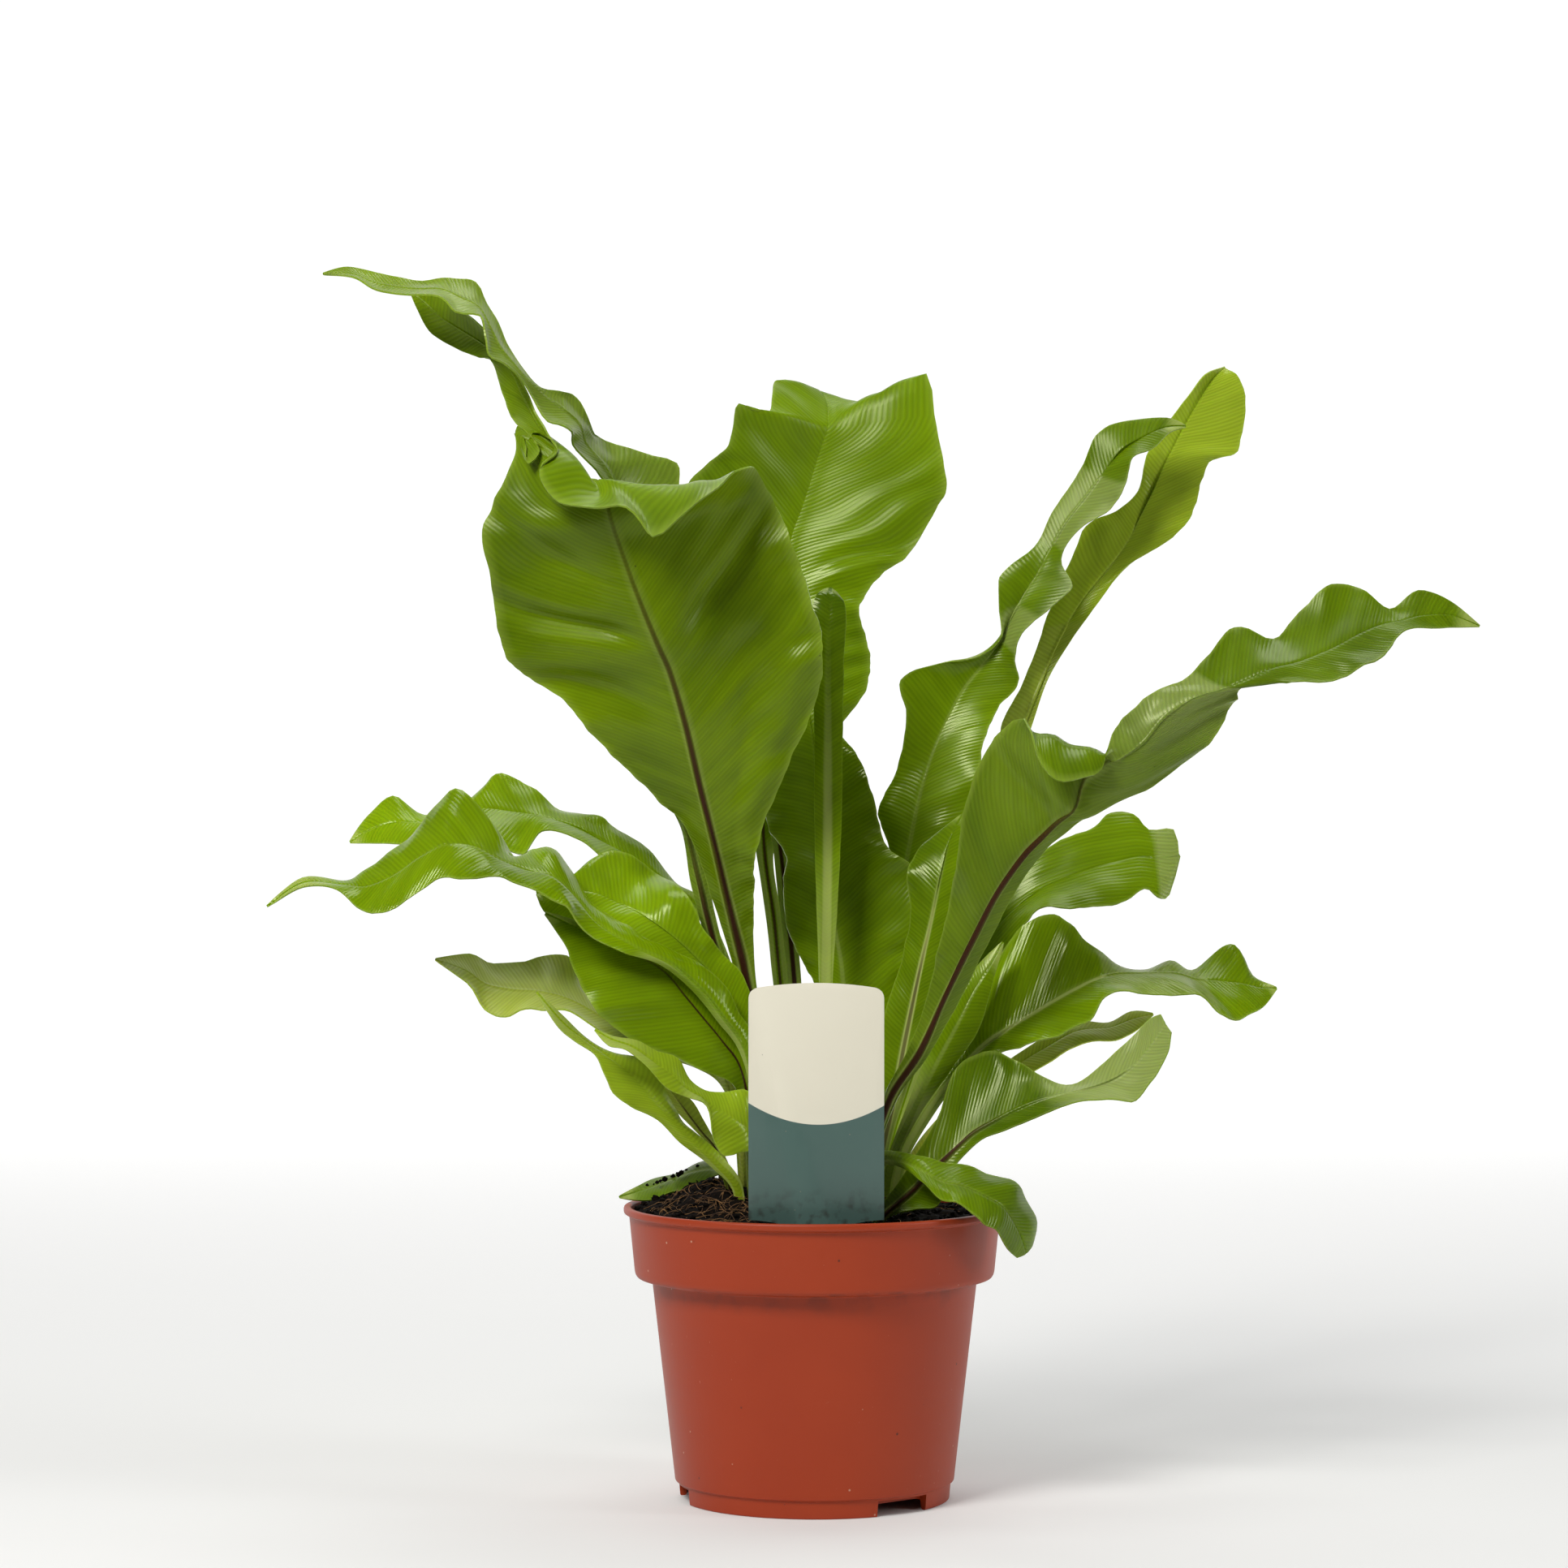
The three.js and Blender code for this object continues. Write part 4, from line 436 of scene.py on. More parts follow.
        [[2, 300, 136], [17, 302, 140], [28, 298, 132]], [15, 318, 162, 0.6],
    ]),
    "frond_rear_left": (-1, [
        [-20, 122, 16, 2.4], [-24, 148, 20, 2.5], [-36, 186, 38, 2.8],
        [[-54, 204, 54], [-51, 210, 56], [-48, 216, 58]], [[-70, 212, 74], [-66, 224, 78], [-60, 236, 82]],
        [[-84, 222, 96], [-79, 236, 102], [-74, 250, 108]],
        [[-94, 236, 122], [-90, 246, 128], [-86, 256, 132]], [-98, 254, 146, 0.6],
    ]),
    "frond_rear_right": (-1, [
        [24, 122, 20, 2.4], [27, 144, 24, 2.5], [44, 180, 44, 2.8],
        [[56, 212, 64], [60, 206, 64], [64, 201, 62]], [[68, 232, 88], [74, 222, 88], [80, 212, 84]],
        [[80, 244, 114], [86, 234, 114], [92, 224, 108]], [[92, 250, 138], [96, 243, 138], [100, 236, 134]],
        [104, 249, 154, 0.6],
    ]),
}

# How each frond differs. light and grey shift its green; on the fronds so marked below, the shift is partly
# painted light or painted sheen. brown is the share of its length where the dark midrib below ends, over
# the share fade. pale_rib makes the midrib pale above, and dark_rib draws a dark line in it, dark_width of
# the midrib wide. matt adds to the roughness. rib scales the midrib, fine the number of faces and calm the
# pleats and ruffles. lengthwise is for a wide frond of which one half shows, with its veins along the part
# that shows. A list gives shares of the length and the value at each.
FROND_LOOKS = {
    "frond_front_tall": {
        "light": -0.12, "grey": 0.0, "brown": 0.9, "fade": 0.5, "fine": 1.6,
        "rib": [(0.0, 1.6), (0.5, 1.4), (1.0, 0.9)], "matt": [(0.64, 0.0), (0.69, 0.1)]},
    "frond_left_crooked": {"light": -0.05, "grey": 0.25, "brown": 0.45},
    "frond_centre_stem": {"light": 0.1, "brown": 0.6, "dark_rib": 1.0, "dark_width": 0.9, "pale_rib": 0.6},
    "frond_back_tall": {
        "light": 0.08, "brown": 0.6, "dark_rib": 0.9, "dark_width": 0.6, "fine": 1.3,
        "matt": [(0.78, 0.0), (0.88, 0.14)]},
    "frond_young_rolled": {
        "light": [(0.8, 0.2), (0.93, -0.4)], "brown": 0.1, "pale_rib": 0.6, "rib": 2.2,
        "matt": [(0.8, 0.0), (0.93, -0.06)]},
    "frond_centre_broad": {"light": 0.15, "brown": 0.4, "pale_rib": 0.3},
    # Its grey below is partly painted sheen: a pale reflection on the twisted part of the blade, painted
    # into the colour.
    "frond_right_back": {
        "light": [(0.55, 0.2), (0.7, -0.2)], "grey": 0.7, "brown": 0.35, "pale_rib": 0.2, "calm": 0.45,
        "matt": [(0.6, 0.0), (0.72, 0.08)]},
    "frond_right_top": {
        "light": [(0.35, 1.1), (0.6, 0.9)], "grey": [(0.4, 1.2), (0.6, 0.5)], "brown": 0.2, "pale_rib": 0.2,
        "dark_rib": 0.25},
    # Its grey below, rising from halfway out, is partly painted sheen: the pale reflection along its
    # twisted part, painted into the colour.
    "frond_right_long": {
        "light": -0.25, "grey": [(0.5, 0.1), (0.58, 0.3), (0.66, 0.8)], "brown": 0.64,
        "rib": [(0.0, 1.3), (0.3, 1.05), (0.6, 0.5), (1.0, 0.6)], "matt": [(0.7, 0.0), (0.74, 0.08)]},
    "frond_right_middle": {
        "light": 0.05, "grey": 0.9, "brown": 0.3, "rib": 0.3, "calm": 0.3, "lengthwise": True},
    "frond_right_glossy": {
        "light": 0.15, "grey": 0.5, "brown": 0.3, "pale_rib": 0.7, "matt": -0.03, "fine": 1.2},
    # Painted light: its green is made much paler to stand in for light from the bright surroundings where
    # it lies in shade.
    "frond_right_narrow": {"light": 1.5, "grey": 0.6, "brown": 0.3, "matt": 0.1},
    "frond_right_low": {
        "light": [(0.6, -0.5), (0.7, 0.2)], "grey": [(0.6, 0.0), (0.7, 1.2)], "brown": 0.55,
        "matt": [(0.6, -0.03), (0.7, 0.1)]},
    "frond_over_rim": {"light": -0.2, "brown": 0.2, "pale_rib": 0.1},
    "frond_left_long": {"light": 0.2, "matt": -0.05, "brown": 0.3, "pale_rib": 0.05},
    "frond_left_back": {"light": 0.35, "grey": 0.6, "brown": 0.3},
    "frond_left_bright": {"light": 0.3, "brown": 0.3, "pale_rib": 0.05},
    "frond_left_wide": {"light": -0.1, "brown": 0.4, "dark_rib": 1.0, "dark_width": 0.6},
    # Painted light: its pale green partly stands in for light that shines through it from the bright floor
    # and wall behind.
    "frond_left_pale": {"light": 1.05, "grey": 0.9, "brown": 0.15, "matt": 0.1},
    "frond_left_small": {"light": 0.8, "grey": 0.1, "brown": 0.3},
    "frond_left_twisted": {"light": 0.75, "grey": 0.2, "brown": 0.3},
    "frond_left_brown_rib": {"light": 1.0, "grey": 0.7, "brown": 0.9, "rib": 0.6},
    "frond_left_resting": {"light": -0.2, "brown": 0.2, "pale_rib": 0.2, "matt": 0.2},
    "frond_young_right": {
        "light": 0.0, "brown": 0.3, "pale_rib": 1.0, "dark_rib": 0.7, "dark_width": 0.6, "rib": 1.3},
    "frond_right_small": {"light": -0.05, "brown": 0.3, "pale_rib": 0.2},
    "frond_rear_middle": {"light": 0.1, "brown": 0.5, "pale_rib": 0.2},
    "frond_rear_left": {"light": 0.2, "brown": 0.5, "pale_rib": 0.2},
    "frond_rear_right": {"light": 0.0, "brown": 0.5, "pale_rib": 0.2},
}

# Deep folds that run out along the veins: side (-1 left, 1 right), start along the midrib, half breadth and
# depth in millimetres, and the share of the way to the margin where it sets in. A depth above 0 is a hollow
# on the lower side.
FOLDS = {
    "frond_front_tall": [
        (-1, 338, 13, -4.0, 0.1), (-1, 304, 6, 3.8, 0.1), (-1, 276, 5.5, 4.4, 0.0), (-1, 236, 8, 1.6, 0.2),
        (1, 267, 10, 4.4, 0.1), (1, 292, 7, -1.2, 0.2), (1, 214, 25, -12.0, 0.45),
    ],
    "frond_back_tall": [
        (1, 296, 3.6, 1.3, 0.3), (1, 304, 3.6, -1.3, 0.3), (1, 312, 3.6, 1.3, 0.3), (1, 320, 4, -1.0, 0.3),
        (-1, 330, 8, 1.2, 0.3),
    ],
    "frond_left_bright": [(1, 128, 4, 1.2, 0.3), (1, 138, 4, -1.2, 0.3), (1, 148, 4, 1.2, 0.3)],
    "frond_right_glossy": [(-1, 97, 7, 0.9, 0.05), (-1, 114, 7, -0.9, 0.05)],
}

# Shares of a frond's length that take the look and the midrib relief of its other side, where the real
# frond is twisted to show that side.
TURNS = {
    "frond_right_long": [(0.715, 1.1)],
    "frond_right_top": [(-0.1, 0.67)],
    "frond_right_glossy": [(0.66, 0.86)],
    "frond_right_middle": [(0.955, 1.1)],
    "frond_right_back": [(0.68, 0.72), (0.8, 0.885)],
}


def deselect_all():
    """Leaves edit mode and clears the selection."""
    if bpy.context.object and bpy.context.object.mode != "OBJECT":
        bpy.ops.object.mode_set(mode="OBJECT")
    bpy.ops.object.select_all(action="DESELECT")


def select_only(piece):
    """Selects this piece alone and makes it the active one."""
    deselect_all()
    piece.select_set(True)
    bpy.context.view_layer.objects.active = piece


def linear(code):
    """A colour such as "#9A4129" as linear red, green, blue and alpha."""
    shares = [int(code[i:i + 2], 16) / 255 for i in (1, 3, 5)]
    return [c / 12.92 if c <= 0.04045 else ((c + 0.055) / 1.055) ** 2.4 for c in shares] + [1.0]


def add_node(tree, kind, inputs=None, **settings):
    """Adds one node, sets its settings, and sets or links its inputs."""
    new = tree.nodes.new(kind)
    for key, value in settings.items():
        setattr(new, key, value)
    for key, value in (inputs or {}).items():
        if isinstance(value, bpy.types.NodeSocket):
            tree.links.new(value, new.inputs[key])
        else:
            new.inputs[key].default_value = value
    return new


def lay_colours(tree, colour, layers):
    """Lays colours over one another, each a share from 0 to 1 and its code, and gives what shows."""
    for share, code in layers:
        colour = add_node(
            tree, "ShaderNodeMix", {0: share, 6: colour, 7: linear(code)}, data_type="RGBA").outputs[2]
    return colour


def clouds(tree, place, scale, detail, low, high, strength=1.0):
    """Patches of noise, from 0 where it is low to the strength where it is high."""
    cloud = add_node(
        tree, "ShaderNodeTexNoise", {"Vector": place, "Scale": scale, "Detail": detail}).outputs[0]
    return add_node(tree, "ShaderNodeMapRange", {0: cloud, 1: low, 2: high, 4: strength}).outputs[0]


def round_specks(tree, place, scale, inner, outer, strength):
    """Round specks that fade out between two distances from their middles, as shares of their spacing."""
    distance = add_node(tree, "ShaderNodeTexVoronoi", {"Vector": place, "Scale": scale}).outputs[0]
    return add_node(
        tree, "ShaderNodeMapRange", {0: distance, 1: inner, 2: outer, 3: strength, 4: 0.0}).outputs[0]


def new_material(name):
    """An empty material and its node tree."""
    material = bpy.data.materials.new(name)
    material.use_nodes = True
    material.node_tree.nodes.clear()
    return material, material.node_tree


def finish_piece(piece, name, material, node=None):
    """Names a finished piece, gives it its material and seats it on the plant's one body."""
    piece.name = name
    piece.data.name = name
    piece.data.materials.clear()
    piece.data.materials.append(material)
    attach(piece, "root")
    if node:
        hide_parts(node)
    deselect_all()
    return piece


def smooth_by_angle(piece, degrees):
    """Smooth shading, with edges over the angle kept sharp."""
    select_only(piece)
    bpy.ops.object.shade_smooth_by_angle(angle=math.radians(degrees))


def apply_all_modifiers(piece):
    """Applies the piece's modifiers in their order."""
    select_only(piece)
    for modifier in list(piece.modifiers):
        bpy.ops.object.modifier_apply(modifier=modifier.name)


def sighted(x, z, y):
    """A point seen at x, z on the plane y = 0, moved along the line of sight to its depth. Millimetres."""
    reach = (y - EYE[1]) / -EYE[1]
    return Vector((EYE[0] + (x - EYE[0]) * reach, y, EYE[2] + (z - EYE[2]) * reach))


def five_lines(stations, face, belly):
    """The frond's left edge, left middle, midrib, right middle and right edge, one point a station."""
    ribs = []
    for station in stations:
        if isinstance(station[0], list):
            ribs.append(station[len(station) // 2])
        else:
            ribs.append(station[:3])
    lines = []
    for i, station in enumerate(stations):
        before = ribs[max(i - 1, 0)]
        after = ribs[min(i + 1, len(ribs) - 1)]
        if not isinstance(station[0], list):
            x, z, y, half = station
            run = math.hypot(after[0] - before[0], after[1] - before[1])
            dx = (after[1] - before[1]) / run * half
            dz = -(after[0] - before[0]) / run * half
            station = [[x - dx, z - dz, y], [x, z, y], [x + dx, z + dz, y]]
        points = [sighted(*point) for point in station]
        if len(points) == 3:
            left, rib, right = points
            along = (sighted(*after) - sighted(*before)).normalized()
            up = along.cross(right - left).normalized() * face
            in_left = (left + rib) / 2 + up * belly * (left - rib).length
            in_right = (right + rib) / 2 + up * belly * (right - rib).length
            points = [left, in_left, rib, in_right, right]
        lines.append(points)
    return np.array(lines)


def fine_rows(lines, step):
    """Rows about one step apart along the midrib, on smooth curves through the stations."""
    rows = []
    last = len(lines) - 1
    for i in range(last):
        a, b, c, d = (lines[min(max(k, 0), last)] for k in (i - 1, i, i + 1, i + 2))
        count = max(2, round(np.linalg.norm(c[2] - b[2]) / step))
        for k in range(count):
            t = k / count
            rows.append(0.5 * (2 * b + (c - a) * t + (2 * a - 5 * b + 4 * c - d) * t * t
                               + (3 * b - a - 3 * c + d) * t ** 3))
    rows.append(lines[last])
    return np.array(rows)


def waves(place, lengths, seed):
    """A smooth uneven wave between about -1 and 1, the sum of sines of the given lengths."""
    draw = random.Random(seed)
    total = sum(math.sqrt(length) for length in lengths)
    value = np.zeros_like(place)
    for length in lengths:
        shift = draw.uniform(0, 2 * math.pi)
        value += math.sqrt(length) / total * np.sin(place * 2 * math.pi / length + shift)
    return value * 1.4


def ramp(value, low, high):
    """Rises smoothly from 0 at low to 1 at high."""
    share = np.clip((value - low) / (high - low), 0, 1)
    return share * share * (3 - 2 * share)


def unit(vectors):
    """The vectors at length 1."""
    lengths = np.linalg.norm(vectors, axis=-1, keepdims=True)
    return vectors / np.maximum(lengths, 1e-9)


def surface_normals(grid, face):
    """The way the upper side looks at each point of a grid, evened out over its neighbours."""
    normals = unit(np.cross(np.gradient(grid, axis=0), np.gradient(grid, axis=1))) * face
    padded = np.pad(normals, ((1, 1), (1, 1), (0, 0)), mode="edge")
    rows, columns = normals.shape[:2]
    spread = sum(padded[i:i + rows, j:j + columns] for i in range(3) for j in range(3))
    return unit(spread)


def round_off(reach):
    """How far from the midrib, in millimetres, the blade is rounded over it."""
    return np.minimum(ROUND_MOST, ROUND_SHARE * reach)[:, None]


def along_frond(value, share):
    """A value at each share of the length: the same everywhere, or from a list of shares and values."""
    return np.interp(share, *zip(*value)) if isinstance(value, list) else np.full(share.shape, value)


def half_waves(place, lengths, seed, on_left):
    """Waves with their own lengths and seed on each half of a frond."""
    return np.where(on_left, waves(place, lengths[0], seed), waves(place, lengths[1], seed + 1))


def half_blade(rows, edge, between, rib_half, columns):
    """One half of the blade, from the midrib out: its points, how far out each lies as a share of the
    half's width and in millimetres, that width, and the way the half leaves the midrib."""
    outer, middle, rib = rows[:, edge], rows[:, between], rows[:, 2]
    reach = np.maximum(np.linalg.norm(outer - rib, axis=1), 0.05)
    ridge = np.minimum(RIB_SHARE, rib_half / reach)[:, None]
    on_rib = ridge * (np.arange(RIB_COLUMNS + 1) / RIB_COLUMNS)
    on_blade = ridge + (1 - ridge) * (np.arange(1, columns + 1) / columns)
    out = np.concatenate([on_rib, on_blade], axis=1)
    t = (1 - out)[..., None]
    bend = (2 * middle - 0.5 * outer - 0.5 * rib)[:, None]
    points = (1 - t) ** 2 * outer[:, None] + 2 * t * (1 - t) * bend + t * t * rib[:, None]
    leaving = 2 * (bend[:, 0] - rib) / reach[:, None]
    return points, out, out * reach[:, None], reach, leaving


def frond_grid(name, settings):
    """The frond's middle surface in millimetres, with what its material needs to know at each point."""
    face, stations = FRONDS[name]
    look = FROND_LOOKS[name]
    fineness = look.get("fine", 1)
    lines = five_lines(stations, face, settings.belly)
    rows = fine_rows(lines, settings.row_step / MM / fineness)
    seed = sorted(FRONDS).index(name) * 10
    steps = np.linalg.norm(np.diff(rows[:, 2], axis=0), axis=1)
    along = np.concatenate([[0], np.cumsum(steps)])
    share = along / along[-1]
    rib_half = np.interp(share, [0, 1], [settings.rib_half_base / MM, settings.rib_half_tip / MM])
    rib_half *= along_frond(look.get("rib", 1.0), share)
    columns = round(settings.columns * fineness)
    halves = [half_blade(rows, edge, between, rib_half, columns) for edge, between in ((0, 1), (4, 3))]
    # Where the halves meet at an angle, the blade is rounded over the midrib instead of creased.
    opening = ((halves[0][4] + halves[1][4]) / 2)[:, None]
    left, right = (
        (points + opening * (np.sqrt(far ** 2 + round_off(reach) ** 2) - far)[..., None], out, far, reach)
        for points, out, far, reach, _ in halves)
    grid = np.concatenate([left[0][:, :0:-1], right[0]], axis=1)
    outward = np.concatenate([left[1][:, :0:-1], right[1]], axis=1)
    aside = np.concatenate([-left[2][:, :0:-1], right[2]], axis=1)
    reach = np.concatenate([np.repeat(left[3][:, None], left[1].shape[1] - 1, 1),
                            np.repeat(right[3][:, None], right[1].shape[1], 1)], axis=1)
    down = np.repeat(along[:, None], grid.shape[1], axis=1)
    normals = surface_normals(grid, face)

    start = down - np.abs(aside) / math.tan(settings.vein_angle)
    on_left = aside < 0
    pleat = half_waves(start, PLEATS, seed, on_left)
    broad = np.clip(reach / 30, 0, 1)
    calm = look.get("calm", 1)
    lift = calm * settings.pleat_depth / MM * pleat * broad * ramp(outward, 0.05, 0.6)
    for fold_side, fold_start, half, depth, inner in FOLDS.get(name, []):
        shape = np.exp(-((start - fold_start) / half) ** 2)
        lift += np.where(np.sign(aside) == fold_side, depth * shape * ramp(outward, inner, inner + 0.35), 0)
    ruffle = half_waves(down, RUFFLES, seed + 2, on_left)
    ends = ramp(down, 20, 60) * ramp(along[-1] - down, 0, 25)
    by_reach = np.clip(reach / 16, 0, 1) ** 2 * ends
    lift += calm * settings.ruffle_depth / MM * ruffle * ramp(outward, 0.5, 1) * by_reach
    rib = grid[:, outward.shape[1] // 2][:, None]
    sideways = unit(grid - rib)
    nibble = half_waves(down, NIBBLES, seed + 4, on_left)
    push = settings.margin_nibble / MM * nibble * ramp(outward, 0.8, 1) * by_reach
    grid = grid + normals * lift[..., None] + sideways * push[..., None]
    return {
        "grid": grid,
        "normals": surface_normals(grid, face),
        "outward": outward,
        "aside": aside,
        "down": down,
        "share": np.repeat(share[:, None], grid.shape[1], axis=1),
        "in_rib": np.clip(np.abs(aside) / rib_half[:, None], 0, 4),
        "reach": reach,
    }


def grow_frond(name, settings, material):
    """One frond: a grid laid on its middle surface, thickened, its midrib raised below and sunk above."""
    parts = frond_grid(name, settings)
    grid = parts["grid"]
    rows, columns = grid.shape[:2]
    deselect_all()
    bpy.ops.mesh.primitive_grid_add(x_subdivisions=columns - 1, y_subdivisions=rows - 1, size=1)
    piece = bpy.context.object
    if len(piece.data.vertices) != rows * columns:
        raise RuntimeError(f"{name}: the grid has {len(piece.data.vertices)} points, not {rows * columns}")
    piece.data.vertices.foreach_set("co", (grid * MM).ravel())
    piece.data.update()
    thick = piece.modifiers.new("Blade", "SOLIDIFY")
    thick.thickness = settings.blade_thickness
    thick.offset = 0
    thick.use_even_offset = False
    apply_all_modifiers(piece)

    count = rows * columns
    mesh = piece.data
    co = np.empty(len(mesh.vertices) * 3)
    mesh.vertices.foreach_get("co", co)
    co = co.reshape(-1, 3)
    flat = {key: np.tile(value.reshape(count, -1), (2, 1)) for key, value in parts.items()}
    share = flat["share"][:, 0]
    turned = np.zeros(len(share), bool)
    for turn_from, turn_to in TURNS.get(name, []):
        turned |= (share > turn_from) & (share < turn_to)
    below = (np.einsum("ij,ij->i", co - flat["grid"] * MM, flat["normals"]) < 0) ^ turned
    in_rib = flat["in_rib"][:, 0]
    width_ok = np.clip(flat["reach"][:, 0] / 1.5, 0, 1)
    ridge = np.where(in_rib < 1, np.cos(in_rib * math.pi / 2) ** 0.8, 0) * width_ok
    deep = np.interp(share, [0, 0.3, 0.6, 1], np.array([1, 0.5, 0.15, 0]) * settings.rib_depth_base)
    deep += settings.rib_depth_tip
    groove = np.where(in_rib < 1.6, np.cos(np.clip(in_rib / 1.6, 0, 1) * math.pi / 2) ** 2, 0)
    move = np.where(below, -ridge * deep, -groove * settings.groove_depth * np.clip(share * 4 - 0.4, 0, 1))
    move = np.where(turned, -move, move)
    co += flat["normals"] * move[:, None]
    mesh.vertices.foreach_set("co", co.ravel())
    mesh.update()

    mark_leaf(mesh, name, flat, below)
    smooth_by_angle(piece, 50)
    return finish_piece(piece, name + "_fine", material, node=name)


def mark_leaf(mesh, name, flat, below):
    """Keeps on the mesh what the leaf material needs to know at each point."""
    look = FROND_LOOKS[name]
    share = flat["share"][:, 0]
    in_rib = flat["in_rib"][:, 0]
    far = flat["aside"][:, 0]
    brown_end = look.get("brown", 0.3)
    fade = 1 - ramp(share, brown_end - look.get("fade", 0.2), brown_end)
    brown = np.where(below, fade * (1 - ramp(in_rib, 0.45, 0.95)), 0)
    dark_width = look.get("dark_width", 0.3)
    dark_above = look.get("dark_rib", 0) * (1 - ramp(share, 0.55, 0.85))
    dark_above *= 1 - ramp(in_rib, dark_width * 0.6, dark_width)
    brown = np.maximum(brown, np.where(below, 0, dark_above))
    pale = look.get("pale_rib", 0) * (1 - ramp(in_rib, 0.5, 1.2)) * (1 - ramp(share, 0.6, 0.95))
    stalk = 1 - ramp(flat["reach"][:, 0], 3.2, 6)
    pale = np.where(below, 0, np.maximum(pale, stalk * 0.5 * ramp(in_rib, 0.75, 1.05)))
    beside_rib = ramp(in_rib, 0.6, 0.9) * (1 - ramp(in_rib, 0.9, 1.6))
    halo = np.where(below, fade * beside_rib * (1 - share) * 0.5, 0)
    # How near the margin a point lies, for the pale line that the material paints there as a highlight on
    # the thin edge.
    margin = ramp(flat["outward"][:, 0], 0.93, 1.0) * np.clip(flat["reach"][:, 0] / 8, 0, 1)
    veins = (0.15 * flat["down"][:, 0], far) if look.get("lengthwise") else (far, flat["down"][:, 0])
    write_vectors(mesh, "blade", *veins, np.where(below, 1.0, 0.0))
    write_vectors(mesh, "ribs", brown, np.maximum(pale, halo), margin)
    plain = {"light": 0.0, "grey": 0.1, "matt": 0.0}
    tones = [along_frond(look.get(key, value), share) for key, value in plain.items()]
    write_vectors(mesh, "tone", *tones)


def write_vectors(mesh, name, x, y, z):
    """Keeps three numbers a point on the mesh, for the material to read."""
    attribute = mesh.attributes.new(name, "FLOAT_VECTOR", "POINT")
    attribute.data.foreach_set("vector", np.stack([x, y, z], axis=1).astype(np.float32).ravel())


